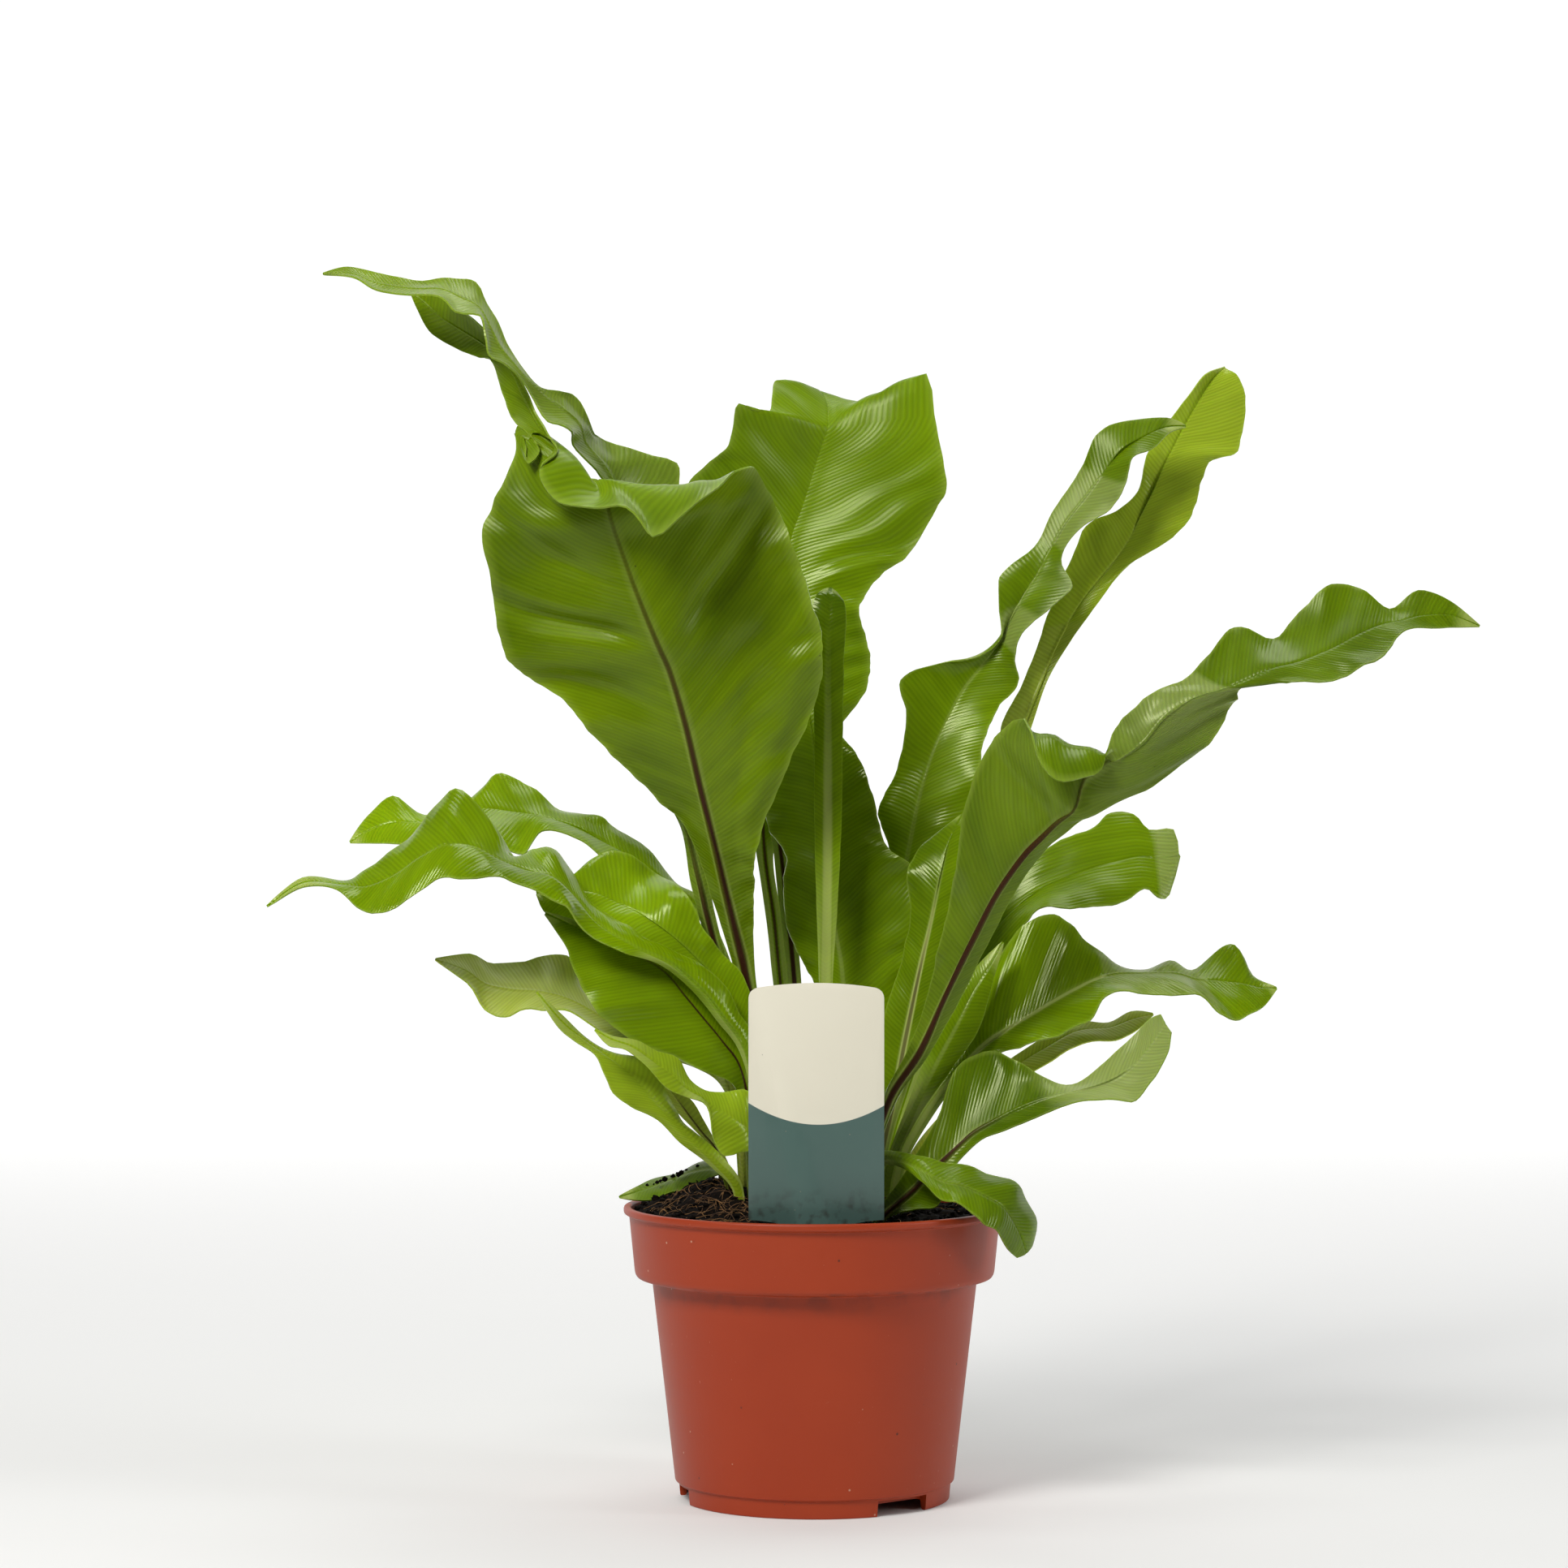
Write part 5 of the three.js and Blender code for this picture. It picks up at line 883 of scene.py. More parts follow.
def fern_leaf_material(look):
    """Living fern leaf, grown: a waxy blade, glossy yellow-green above and duller grey-green below, with
    close parallel veins that catch the light as fine streaks, and a midrib that is dark brown below."""
    material, tree = new_material("fern_leaf")
    kept = []
    for name in ("blade", "ribs", "tone"):
        vector = add_node(tree, "ShaderNodeAttribute", attribute_name=name).outputs["Vector"]
        kept += list(add_node(tree, "ShaderNodeSeparateXYZ", {0: vector}).outputs)
    aside, down, below, brown, pale, margin, light, grey, matt_shift = kept

    # A vein starts at the midrib and runs out towards the tip: its start is what tells one from the next.
    far = add_node(tree, "ShaderNodeMath", {0: aside}, operation="ABSOLUTE").outputs[0]
    slope = 1 / math.tan(look.vein_angle)
    slant = add_node(tree, "ShaderNodeMath", {0: far, 1: slope}, operation="MULTIPLY").outputs[0]
    start = add_node(tree, "ShaderNodeMath", {0: down, 1: slant}, operation="SUBTRACT").outputs[0]
    spacing = look.vein_spacing / MM
    vein_at = add_node(tree, "ShaderNodeMath", {0: start, 1: 1 / spacing}, operation="MULTIPLY").outputs[0]
    drift_at = add_node(tree, "ShaderNodeMath", {0: aside, 1: 1 / 26}, operation="MULTIPLY").outputs[0]
    vein_place = add_node(tree, "ShaderNodeCombineXYZ", {0: vein_at, 1: drift_at, 2: light})
    uneven = add_node(
        tree, "ShaderNodeTexNoise",
        {"Vector": vein_place.outputs[0], "Scale": 0.9, "Detail": 2.0}).outputs[0]
    turned = add_node(tree, "ShaderNodeMath", {0: vein_at, 1: 2 * math.pi}, operation="MULTIPLY").outputs[0]
    wobble = add_node(tree, "ShaderNodeMath", {0: uneven, 1: 3.0, 2: turned}, operation="MULTIPLY_ADD")
    sine = add_node(tree, "ShaderNodeMath", {0: wobble.outputs[0]}, operation="SINE").outputs[0]
    vein = add_node(
        tree, "ShaderNodeMath", {0: sine, 1: 0.3, 2: uneven}, operation="MULTIPLY_ADD").outputs[0]

    # Broader streaks of the same run, a few millimetres wide, and slow cloudy patches.
    streak_place = add_node(
        tree, "ShaderNodeVectorMath", {0: vein_place.outputs[0], 1: (0.22, 0.5, 1.0)}, operation="MULTIPLY")
    streak = add_node(
        tree, "ShaderNodeTexNoise",
        {"Vector": streak_place.outputs[0], "Scale": 1.0, "Detail": 2.0}).outputs[0]
    place = add_node(tree, "ShaderNodeTexCoord").outputs["Object"]
    cloud = add_node(tree, "ShaderNodeTexNoise", {"Vector": place, "Scale": 16.0, "Detail": 2.0}).outputs[0]

    # The patches, the streaks and the frond's own shade say how light the green is.
    tint = -0.1
    for part, weight in ((cloud, 1.2), (streak, 0.45), (light, 0.75)):
        tint = add_node(
            tree, "ShaderNodeMath", {0: part, 1: weight, 2: tint}, operation="MULTIPLY_ADD").outputs[0]
    tint = add_node(
        tree, "ShaderNodeMath", {0: tint, 1: 0.225}, operation="SUBTRACT", use_clamp=True).outputs[0]
    above = lay_colours(tree, linear(look.upper_dark), [(tint, look.upper_light)])
    under = lay_colours(tree, linear(look.lower_dark), [(tint, look.lower_light)])
    green = add_node(tree, "ShaderNodeMix", {0: below, 6: above, 7: under}, data_type="RGBA").outputs[2]
    # The dull grey below; on the fronds so marked in FROND_LOOKS it is partly painted sheen.
    dull = add_node(tree, "ShaderNodeMath", {0: grey, 1: below}, operation="MULTIPLY").outputs[0]
    dull = add_node(
        tree, "ShaderNodeMath", {0: dull, 1: 0.8}, operation="MULTIPLY", use_clamp=True).outputs[0]
    # A frond's light above 0.55 turns it towards the young yellow-green; on the fronds so marked in
    # FROND_LOOKS this is painted light.
    young = add_node(
        tree, "ShaderNodeMath", {0: light, 1: 0.55}, operation="SUBTRACT", use_clamp=True).outputs[0]
    green = lay_colours(tree, green, [(dull, look.lower_grey), (young, look.young)])
    vein_tint = add_node(tree, "ShaderNodeMapRange", {0: vein, 1: 0.2, 2: 0.8, 3: 0.89, 4: 1.08}).outputs[0]
    green = add_node(tree, "ShaderNodeHueSaturation", {"Value": vein_tint, "Color": green}).outputs[0]

    # Over the green lie a pale line along the margin, a painted highlight where the thin edge catches the
    # light, the midrib and a few dark specks of age, under a millimetre wide.
    edge = add_node(tree, "ShaderNodeMath", {0: margin, 1: 0.3}, operation="MULTIPLY").outputs[0]
    speck = round_specks(tree, place, 42.0, 0.012, 0.022, 0.75)
    green = lay_colours(tree, green, [
        (edge, look.margin), (pale, look.rib_pale), (brown, look.rib_brown), (speck, look.speck)])

    matt = add_node(
        tree, "ShaderNodeMapRange", {0: below, 3: look.upper_roughness, 4: look.lower_roughness}).outputs[0]
    for part, weight in ((streak, 0.18), (matt_shift, 1.0), (brown, 0.3)):
        matt = add_node(
            tree, "ShaderNodeMath", {0: part, 1: weight, 2: matt}, operation="MULTIPLY_ADD").outputs[0]
    matt = add_node(tree, "ShaderNodeMath", {0: matt, 1: 0.09}, operation="SUBTRACT").outputs[0]
    veined = add_node(
        tree, "ShaderNodeMath",
        {0: pale, 1: -VEIN_RELIEF, 2: VEIN_RELIEF}, operation="MULTIPLY_ADD").outputs[0]
    fine = add_node(tree, "ShaderNodeBump", {"Height": vein, "Strength": veined, "Distance": 0.00018})
    bump = add_node(
        tree, "ShaderNodeBump",
        {"Height": streak, "Strength": 0.35, "Distance": 0.0006, "Normal": fine.outputs[0]})
    body = add_node(tree, "ShaderNodeBsdfPrincipled", {
        "Base Color": green, "Roughness": matt, "Normal": bump.outputs[0],
        "IOR": 1.4, "Specular IOR Level": 0.36,
        "Specular Tint": linear("#F8FFCC"),
        "Subsurface Weight": look.glow, "Subsurface Radius": (0.6, 1.0, 0.12), "Subsurface Scale": 0.0012,
    })
    add_node(tree, "ShaderNodeOutputMaterial", {"Surface": body.outputs[0]})
    return material


def spun(outline, steps):
    """A closed round body: an outline of radius and height, from axis to axis, spun a full turn."""
    deselect_all()
    bpy.ops.mesh.primitive_circle_add(vertices=len(outline), radius=1, fill_type="NOTHING")
    body = bpy.context.object
    for vertex, (radius, height) in zip(body.data.vertices, outline):
        vertex.co = (radius * MM, 0, height * MM)
    for edge in body.data.edges:
        edge.select = set(edge.vertices) == {0, len(outline) - 1}
    for vertex in body.data.vertices:
        vertex.select = vertex.index in (0, len(outline) - 1)
    bpy.ops.object.mode_set(mode="EDIT")
    bpy.ops.mesh.select_mode(type="EDGE")
    bpy.ops.mesh.delete(type="EDGE")
    bpy.ops.mesh.select_all(action="SELECT")
    bpy.ops.mesh.spin(steps=steps, angle=2 * math.pi, center=(0, 0, 0), axis=(0, 0, 1))
    bpy.ops.mesh.select_all(action="SELECT")
    bpy.ops.mesh.remove_doubles(threshold=0.00002)
    bpy.ops.mesh.normals_make_consistent(inside=False)
    bpy.ops.object.mode_set(mode="OBJECT")
    return body


def rounded(outline, pieces=5):
    """The outline with each corner that has a third number rounded over that many millimetres each way."""
    points = []
    for i, corner in enumerate(outline):
        if len(corner) == 2:
            points.append(corner)
            continue
        here = Vector(corner[:2])
        before = Vector(outline[i - 1][:2])
        after = Vector(outline[i + 1][:2])
        into = here + (before - here).normalized() * min(corner[2], (before - here).length * 0.49)
        out = here + (after - here).normalized() * min(corner[2], (after - here).length * 0.49)
        for k in range(pieces + 1):
            t = k / pieces
            points.append(tuple((1 - t) ** 2 * into + 2 * t * (1 - t) * here + t * t * out))
    return points


def pot_outline(settings):
    """The pot's wall, underside first, as radius, height and how far each corner is rounded."""
    rim = settings.rim_radius / MM
    top = settings.height / MM
    foot = settings.foot_radius / MM
    collar = top - settings.collar_height / MM
    return rounded([
        (0, 0), (14, 0, 1), (14.6, 5, 1), (foot - 3.4, 5, 1), (foot - 2.6, 0, 0.8), (foot, 0, 0.8),
        (foot + 0.7, 7.8, 0.3), (foot + 2.1, 8.4, 0.5), (72.4, collar - 0.2, 1.2),
        (78.9, collar + 0.6, 0.6), (80, collar + 2.2, 1.8), (82.6, top - 3.8, 0.5),
        (rim - 0.9, top - 3.4, 0.6), (rim, top - 2.8, 0.8),
        (rim, top, 1.2), (rim - 3.1, top, 1.2), (rim - 3.5, top - 2, 1.0), (78.4, collar + 3, 1.2),
        (70.9, collar + 1.3, 1.2), (60.5, 8, 2), (58, 7, 1), (0, 7),
    ])


def mould_pot(settings, material):
    """The nursery pot: a spun wall with collar and lip, and three notches cut in its foot."""
    pot = spun(pot_outline(settings), POT_STEPS)
    cutters = []
    for degrees in NOTCH_TURNS:
        turn = math.radians(degrees)
        deselect_all()
        bpy.ops.mesh.primitive_cube_add(size=1)
        cutter = bpy.context.object
        cutter.scale = [size * MM for size in NOTCH_BOX]
        cutter.rotation_euler = (0, 0, turn)
        cutter.location = (settings.foot_radius * math.cos(turn), settings.foot_radius * math.sin(turn), 0)
        bpy.ops.object.transform_apply(location=True, rotation=True, scale=True)
        cutters.append(cutter)
        cut = pot.modifiers.new("Notch", "BOOLEAN")
        cut.object = cutter
        cut.operation = "DIFFERENCE"
        cut.solver = "EXACT"
    apply_all_modifiers(pot)
    for cutter in cutters:
        bpy.data.objects.remove(cutter)
    smooth_by_angle(pot, 32)
    return finish_piece(pot, "pot_fine", material, node="pot")


def moulded_plastic_material(look):
    """Polypropylene, injection moulded in terracotta colour: satin, with a faint grain, pale scuffs, dust
    from handling, the top of the lip painted a little lighter as a highlight, faint upright flow lines, and
    dark patches under the collar that are partly dried peat and partly painted shade."""
    material, tree = new_material("moulded_polypropylene")
    place = add_node(tree, "ShaderNodeTexCoord").outputs["Object"]
    height = add_node(tree, "ShaderNodeSeparateXYZ", {0: place}).outputs[2]
    cloud = add_node(tree, "ShaderNodeTexNoise", {"Vector": place, "Scale": 14.0, "Detail": 4.0}).outputs[0]
    tint = add_node(tree, "ShaderNodeMapRange", {0: cloud, 1: 0.3, 2: 0.7}).outputs[0]
    # Painted highlight: the top of the lip is painted a little lighter, as where it catches the light from
    # above.
    lip = add_node(tree, "ShaderNodeMapRange", {0: height, 1: 0.1262, 2: 0.1278}).outputs[0]

    # Flow lines: noise squeezed sideways to about 1.2 mm and drawn out along the wall.
    upright = add_node(
        tree, "ShaderNodeMapping", {"Vector": place, "Scale": (520.0, 520.0, 9.0)}).outputs[0]
    flow = add_node(tree, "ShaderNodeTexNoise", {"Vector": upright, "Scale": 1.0, "Detail": 2.0}).outputs[0]
    grain = add_node(
        tree, "ShaderNodeTexNoise", {"Vector": place, "Scale": 900.0, "Detail": 2.0}).outputs[0]

    # Scuffs: short pale scratches where fine stretched noise peaks, and dust specks under a millimetre.
    scuff_at = add_node(
        tree, "ShaderNodeMapping",
        {"Vector": place, "Rotation": (0.5, 0.9, 0.3), "Scale": (160.0, 900.0, 420.0)}).outputs[0]
    scuff = clouds(tree, scuff_at, 1.0, 3.0, 0.73, 0.8, 0.45)
    dust = round_specks(tree, place, 95.0, 0.03, 0.055, 0.7)
    peat = round_specks(tree, place, 60.0, 0.025, 0.045, 0.85)

    # Dark patches that grow towards the collar's underside: partly dried peat on the wall, partly painted
    # shade under the collar's overhang.
    band = add_node(tree, "ShaderNodeMapRange", {0: height, 1: 0.088, 2: 0.0985}).outputs[0]
    over = add_node(tree, "ShaderNodeMapRange", {0: height, 1: 0.0995, 2: 0.1, 3: 1.0, 4: 0.0}).outputs[0]
    peat_and_painted_shade = clouds(tree, place, 120.0, 5.0, 0.48, 0.66)
    for part in (band, over, 0.4):
        peat_and_painted_shade = add_node(tree, "ShaderNodeMath", {0: peat_and_painted_shade, 1: part}, operation="MULTIPLY").outputs[0]

    colour = lay_colours(tree, linear(look.body), [
        (tint, look.body_light), (lip, look.lip), (scuff, "#D08A70"), (dust, "#C9A58C"), (peat, "#3A2014"),
        (peat_and_painted_shade, "#4A2318")])
    matt = add_node(tree, "ShaderNodeMapRange", {0: cloud, 1: 0.3, 2: 0.7, 3: 0.4, 4: 0.5}).outputs[0]
    matt = add_node(
        tree, "ShaderNodeMath", {0: scuff, 1: 0.3, 2: matt}, operation="MULTIPLY_ADD").outputs[0]
    flow_bump = add_node(tree, "ShaderNodeBump", {"Height": flow, "Strength": 0.2, "Distance": 0.0001})
    bump = add_node(
        tree, "ShaderNodeBump",
        {"Height": grain, "Strength": 0.25, "Distance": 0.00006, "Normal": flow_bump.outputs[0]})
    body = add_node(
        tree, "ShaderNodeBsdfPrincipled",
        {"Base Color": colour, "Roughness": matt, "Normal": bump.outputs[0], "IOR": 1.48,
         "Specular IOR Level": 0.38})
    add_node(tree, "ShaderNodeOutputMaterial", {"Surface": body.outputs[0]})
    return material


def peat_height(x, y):
    """Height of the peat in millimetres: a gentle mound with a heap on the left."""
    heap = PEAT_HEAP * math.exp(-((x + 46) / 26) ** 2 - ((y - 8) / 40) ** 2)
    mound = PEAT_MOUND * math.exp(-(x / 38) ** 2 - (y / 38) ** 2)
    rough = 0.5 * math.sin(x * 0.35 + y * 0.21) + 0.5 * math.sin(y * 0.43 - x * 0.17)
    return PEAT_LEVEL + heap + mound + rough


def rough_height(x, y):
    """The peat with its loose grain, a millimetre or two deep."""
    place = Vector((x, y, 0))
    height = peat_height(x, y)
    for scale, lump in ((0.16, 1.3), (0.42, 0.9), (0.95, 0.5)):
        height += noise.noise(place * scale) * lump
    return height


def fill_peat(material):
    """The peat body, filling the pot, with its top roughened in the mesh."""
    wall = [(0, 7.3), (57.4, 7.3), (60.1, 10), (70.4, 99.4), (77.1, 101), (77.9, 101.6), (80.4, 124)]
    rings = [(radius, PEAT_TOP) for radius in np.arange(80.2, 1.0, -1.5)]
    body = spun(wall + rings + [(0, PEAT_TOP)], PEAT_STEPS)
    for vertex in body.data.vertices:
        if vertex.co.z > (PEAT_TOP - 1) * MM:
            vertex.co.z = rough_height(vertex.co.x / MM, vertex.co.y / MM) * MM
    smooth_by_angle(body, 60)
    return finish_piece(body, "peat_fine", material, node="soil")


def scattered_spot(draw):
    """A spot on the peat inside the rim, in millimetres."""
    radius = PEAT_REACH * math.sqrt(draw.random())
    turn = draw.uniform(0, 2 * math.pi)
    return radius * math.cos(turn), radius * math.sin(turn)


def joined_copies(name, copies, material):
    """One piece from many copies, each a pair of points and faces."""
    points = []
    faces = []
    for corners, sides in copies:
        faces += [[index + len(points) for index in side] for side in sides]
        points += [tuple(corner) for corner in corners]
    deselect_all()
    mesh = bpy.data.meshes.new(name)
    mesh.from_pydata(points, [], faces)
    mesh.update()
    piece = bpy.data.objects.new(name, mesh)
    bpy.context.scene.collection.objects.link(piece)
    smooth_by_angle(piece, 35)
    return finish_piece(piece, name, material)


def crumb_shape():
    """The corners and faces of one round crumb."""
    deselect_all()
    bpy.ops.mesh.primitive_ico_sphere_add(subdivisions=1, radius=1)
    ball = bpy.context.object
    corners = [vertex.co.copy() for vertex in ball.data.vertices]
    sides = [list(face.vertices) for face in ball.data.polygons]
    bpy.data.objects.remove(ball)
    return corners, sides


def scatter_crumbs(settings, material):
    """Loose peat crumbs, lying half sunk on the peat."""
    draw = random.Random(11)
    corners, sides = crumb_shape()
    copies = []
    for _ in range(settings.crumbs):
        x, y = scattered_spot(draw)
        size = 0.5 + 1.5 * draw.random() ** 3
        centre = Vector((x, y, rough_height(x, y) + size * 0.25))
        stretch = Vector((draw.uniform(0.7, 1.6), draw.uniform(0.7, 1.3), draw.uniform(0.5, 0.9)))
        turn = Matrix.Rotation(draw.uniform(0, 2 * math.pi), 3, "Z")
        turn = turn @ Matrix.Rotation(draw.uniform(-0.6, 0.6), 3, "X")
        lumpy = [c * draw.uniform(0.75, 1.2) for c in corners]
        placed = [(centre + turn @ Vector(c[k] * stretch[k] * size for k in range(3))) * MM for c in lumpy]
        copies.append((placed, sides))
    # A few crumbs lie on the frond that rests on the peat.
    for _ in range(settings.frond_crumbs):
        share = draw.random()
        place = sighted(-52 - 22 * share + draw.uniform(-1, 1), 147.5 - 9 * share, 15 + draw.uniform(-5, 7))
        size = draw.uniform(0.5, 1.5)
        copies.append(([(place + c * size * draw.uniform(0.7, 1.2)) * MM for c in corners], sides))
    return joined_copies("peat_crumbs", copies, material)


def thin_strand(path, radius, sides=4):
    """A closed tube that tapers at both ends along a path of points in millimetres."""
    corners = []
    faces = []
    last = len(path) - 1
    for i, point in enumerate(path):
        ahead = (path[min(i + 1, last)] - path[max(i - 1, 0)]).normalized()
        across = ahead.cross(Vector((0, 0, 1)) if abs(ahead.z) < 0.9 else Vector((1, 0, 0))).normalized()
        up = across.cross(ahead)
        thick = radius * (0.35 if i in (0, last) else 1)
        for k in range(sides):
            turn = 2 * math.pi * k / sides
            corners.append((point + (across * math.cos(turn) + up * math.sin(turn)) * thick) * MM)
    for i in range(last):
        for k in range(sides):
            a = i * sides + k
            b = i * sides + (k + 1) % sides
            faces.append([a, a + sides, b + sides, b])
    faces.append(list(range(sides)))
    faces.append([last * sides + k for k in reversed(range(sides))])
    return corners, faces


def scatter_fibres(settings, material):
    """Coir fibres, curled on the peat, thickest on the heap at the left."""
    draw = random.Random(23)
    strands = []
    for number in range(settings.fibres):
        x, y = scattered_spot(draw)
        if number % 3:
            x, y = draw.gauss(-46, 16), draw.gauss(-22, 20)
        if math.hypot(x, y) > FIBRE_REACH:
            continue
        heading = draw.uniform(0, 2 * math.pi)
        curl = draw.uniform(-0.35, 0.35)
        length = draw.uniform(4, 15)
        arch = draw.uniform(0.2, 2.4)
        path = []
        for k in range(FIBRE_STEPS + 1):
            share = k / FIBRE_STEPS
            z = rough_height(x, y) + 0.2 + arch * math.sin(math.pi * share)
            path.append(Vector((x, y, z)))
            heading += curl
            x += math.cos(heading) * length / FIBRE_STEPS
            y += math.sin(heading) * length / FIBRE_STEPS
        if math.hypot(x, y) < PEAT_REACH:
            strands.append(thin_strand(path, draw.uniform(0.09, 0.18)))
    return joined_copies("coir_fibres", strands, material)


def peat_material():
    """Moist sphagnum peat, sieved: nearly black brown, matt, with brown and tan flecks of rotted moss."""
    material, tree = new_material("moist_peat")
    place = add_node(tree, "ShaderNodeTexCoord").outputs["Object"]
    coarse = add_node(
        tree, "ShaderNodeTexNoise", {"Vector": place, "Scale": 260.0, "Detail": 5.0}).outputs[0]
    tint = add_node(tree, "ShaderNodeMapRange", {0: coarse, 1: 0.35, 2: 0.7}).outputs[0]
    fleck = clouds(tree, place, 700.0, 2.0, 0.7, 0.78, 0.6)
    colour = lay_colours(tree, linear("#050302"), [(tint, "#130A06"), (fleck, "#5E3F28")])
    bump = add_node(tree, "ShaderNodeBump", {"Height": coarse, "Strength": 0.8, "Distance": 0.0008})
    body = add_node(
        tree, "ShaderNodeBsdfPrincipled",
        {"Base Color": colour, "Roughness": 0.93, "Normal": bump.outputs[0], "IOR": 1.4,
         "Specular IOR Level": 0.15})
    add_node(tree, "ShaderNodeOutputMaterial", {"Surface": body.outputs[0]})
    return material


def fibre_material(name, dark, light):
    """Plant fibre, dried: matt tan to brown, changing along each strand."""
    material, tree = new_material(name)
    place = add_node(tree, "ShaderNodeTexCoord").outputs["Object"]
    tint = clouds(tree, place, 150.0, 2.0, 0.35, 0.65)
    colour = lay_colours(tree, linear(dark), [(tint, light)])
    grain = add_node(tree, "ShaderNodeTexNoise", {"Vector": place, "Scale": 1500.0}).outputs[0]
    bump = add_node(tree, "ShaderNodeBump", {"Height": grain, "Strength": 0.4, "Distance": 0.0001})
    body = add_node(
        tree, "ShaderNodeBsdfPrincipled",
        {"Base Color": colour, "Roughness": 0.8, "Normal": bump.outputs[0], "IOR": 1.45})
    add_node(tree, "ShaderNodeOutputMaterial", {"Surface": body.outputs[0]})
    return material


def grow_crown(material):
    """The rootstock: a fibrous lump between the stems."""
    outline = [(0, 116), (20, 116), (26, 118.5), (30, 122), (31.6, 127), (32, 132), (30.5, 137), (28, 140),
               (22, 143), (16, 145), (8, 146.5), (0, 147)]
    lump = spun(rounded(outline), CROWN_STEPS)
    select_only(lump)
    bpy.ops.object.mode_set(mode="EDIT")
    bpy.ops.mesh.select_all(action="SELECT")
    bpy.ops.mesh.subdivide(number_cuts=1)
    bpy.ops.object.mode_set(mode="OBJECT")
    for vertex in lump.data.vertices:
        place = vertex.co / MM
        if place.z > 118:
            push = noise.noise(place * 0.22) * 1.2 + noise.noise(place * 0.6) * 0.6 - 0.9
            vertex.co += Vector((place.x, place.y, place.z - 125)).normalized() * push * MM
    smooth_by_angle(lump, 60)
    return finish_piece(lump, "crown_fine", material, node="crown")


def grow_scales(material):
    """Brown papery scales that stand round the stems on the rootstock."""
    draw = random.Random(5)
    strands = []
    for _ in range(SCALES):
        turn = draw.uniform(0, 2 * math.pi)
        radius = SCALE_REACH * math.sqrt(draw.random())
        x, y = radius * math.cos(turn), radius * math.sin(turn)
        z = 147 - 12 * (radius / SCALE_REACH) ** 3
        lean = Vector((math.cos(turn), math.sin(turn), 1.2 - radius / 40)).normalized()
        length = draw.uniform(3, 8)
        curl = Vector((draw.uniform(-1, 1), draw.uniform(-1, 1), draw.uniform(-0.6, 0.2)))
        base = Vector((x, y, z - 2.5))
        path = [base + lean * length * k / 4 + curl * (k / 4) ** 2 * 1.6 for k in range(5)]
        strands.append(thin_strand(path, draw.uniform(0.25, 0.5), sides=3))
    return joined_copies("crown_scales", strands, material)


def label_outline():
    """The card's outline seen from the front: an arched top with rounded corners, and a pointed stake."""
    left, right = -28.9, 29.5
    middle = (left + right) / 2
    top, foot, stake_tip = 232, 130, 92
    half = 7
    start = (left, foot)
    curves = [
        [(left, top - 7)],
        [(left, top - 3), (left + 4, top - 2)],
        [(middle, top + 2), (right - 4, top - 2)],
        [(right, top - 3), (right, top - 7)],
        [(right, foot)],
        [(middle + half + 2, foot - 1), (middle + half, foot - 8)],
        [(middle + 2, stake_tip)],
        [(middle - 2, stake_tip)],
        [(middle - half, foot - 8)],
        [(middle - half - 2, foot - 1), start],
    ]
    points = [start]
    for curve in curves:
        here = points[-1]
        if len(curve) == 1:
            points.append(curve[0])
            continue
        bend, end = curve
        for k in range(1, 11):
            t = k / 10
            points.append(tuple(
                (1 - t) ** 2 * here[c] + 2 * t * (1 - t) * bend[c] + t * t * end[c] for c in (0, 1)))
    return points[:-1]


def cut_label(settings, material):
    """The label card: its outline as one face, thickened and with its edges eased."""
    outline = label_outline()
    deselect_all()
    bpy.ops.mesh.primitive_circle_add(vertices=len(outline), radius=1, fill_type="NGON")
    card = bpy.context.object
    for vertex, (x, z) in zip(card.data.vertices, outline):
        vertex.co = (x * MM, LABEL_MIDDLE * MM, z * MM)
    thick = card.modifiers.new("Card", "SOLIDIFY")
    thick.thickness = settings.thickness
    thick.offset = 0
    ease = card.modifiers.new("Edge", "BEVEL")
    ease.width = 0.00012
    ease.segments = 2
    apply_all_modifiers(card)
    select_only(card)
    bpy.ops.object.mode_set(mode="EDIT")
    bpy.ops.mesh.select_all(action="SELECT")
    bpy.ops.mesh.normals_make_consistent(inside=False)
    bpy.ops.object.mode_set(mode="OBJECT")
    smooth_by_angle(card, 30)
    return finish_piece(card, "label_fine", material, node="label")


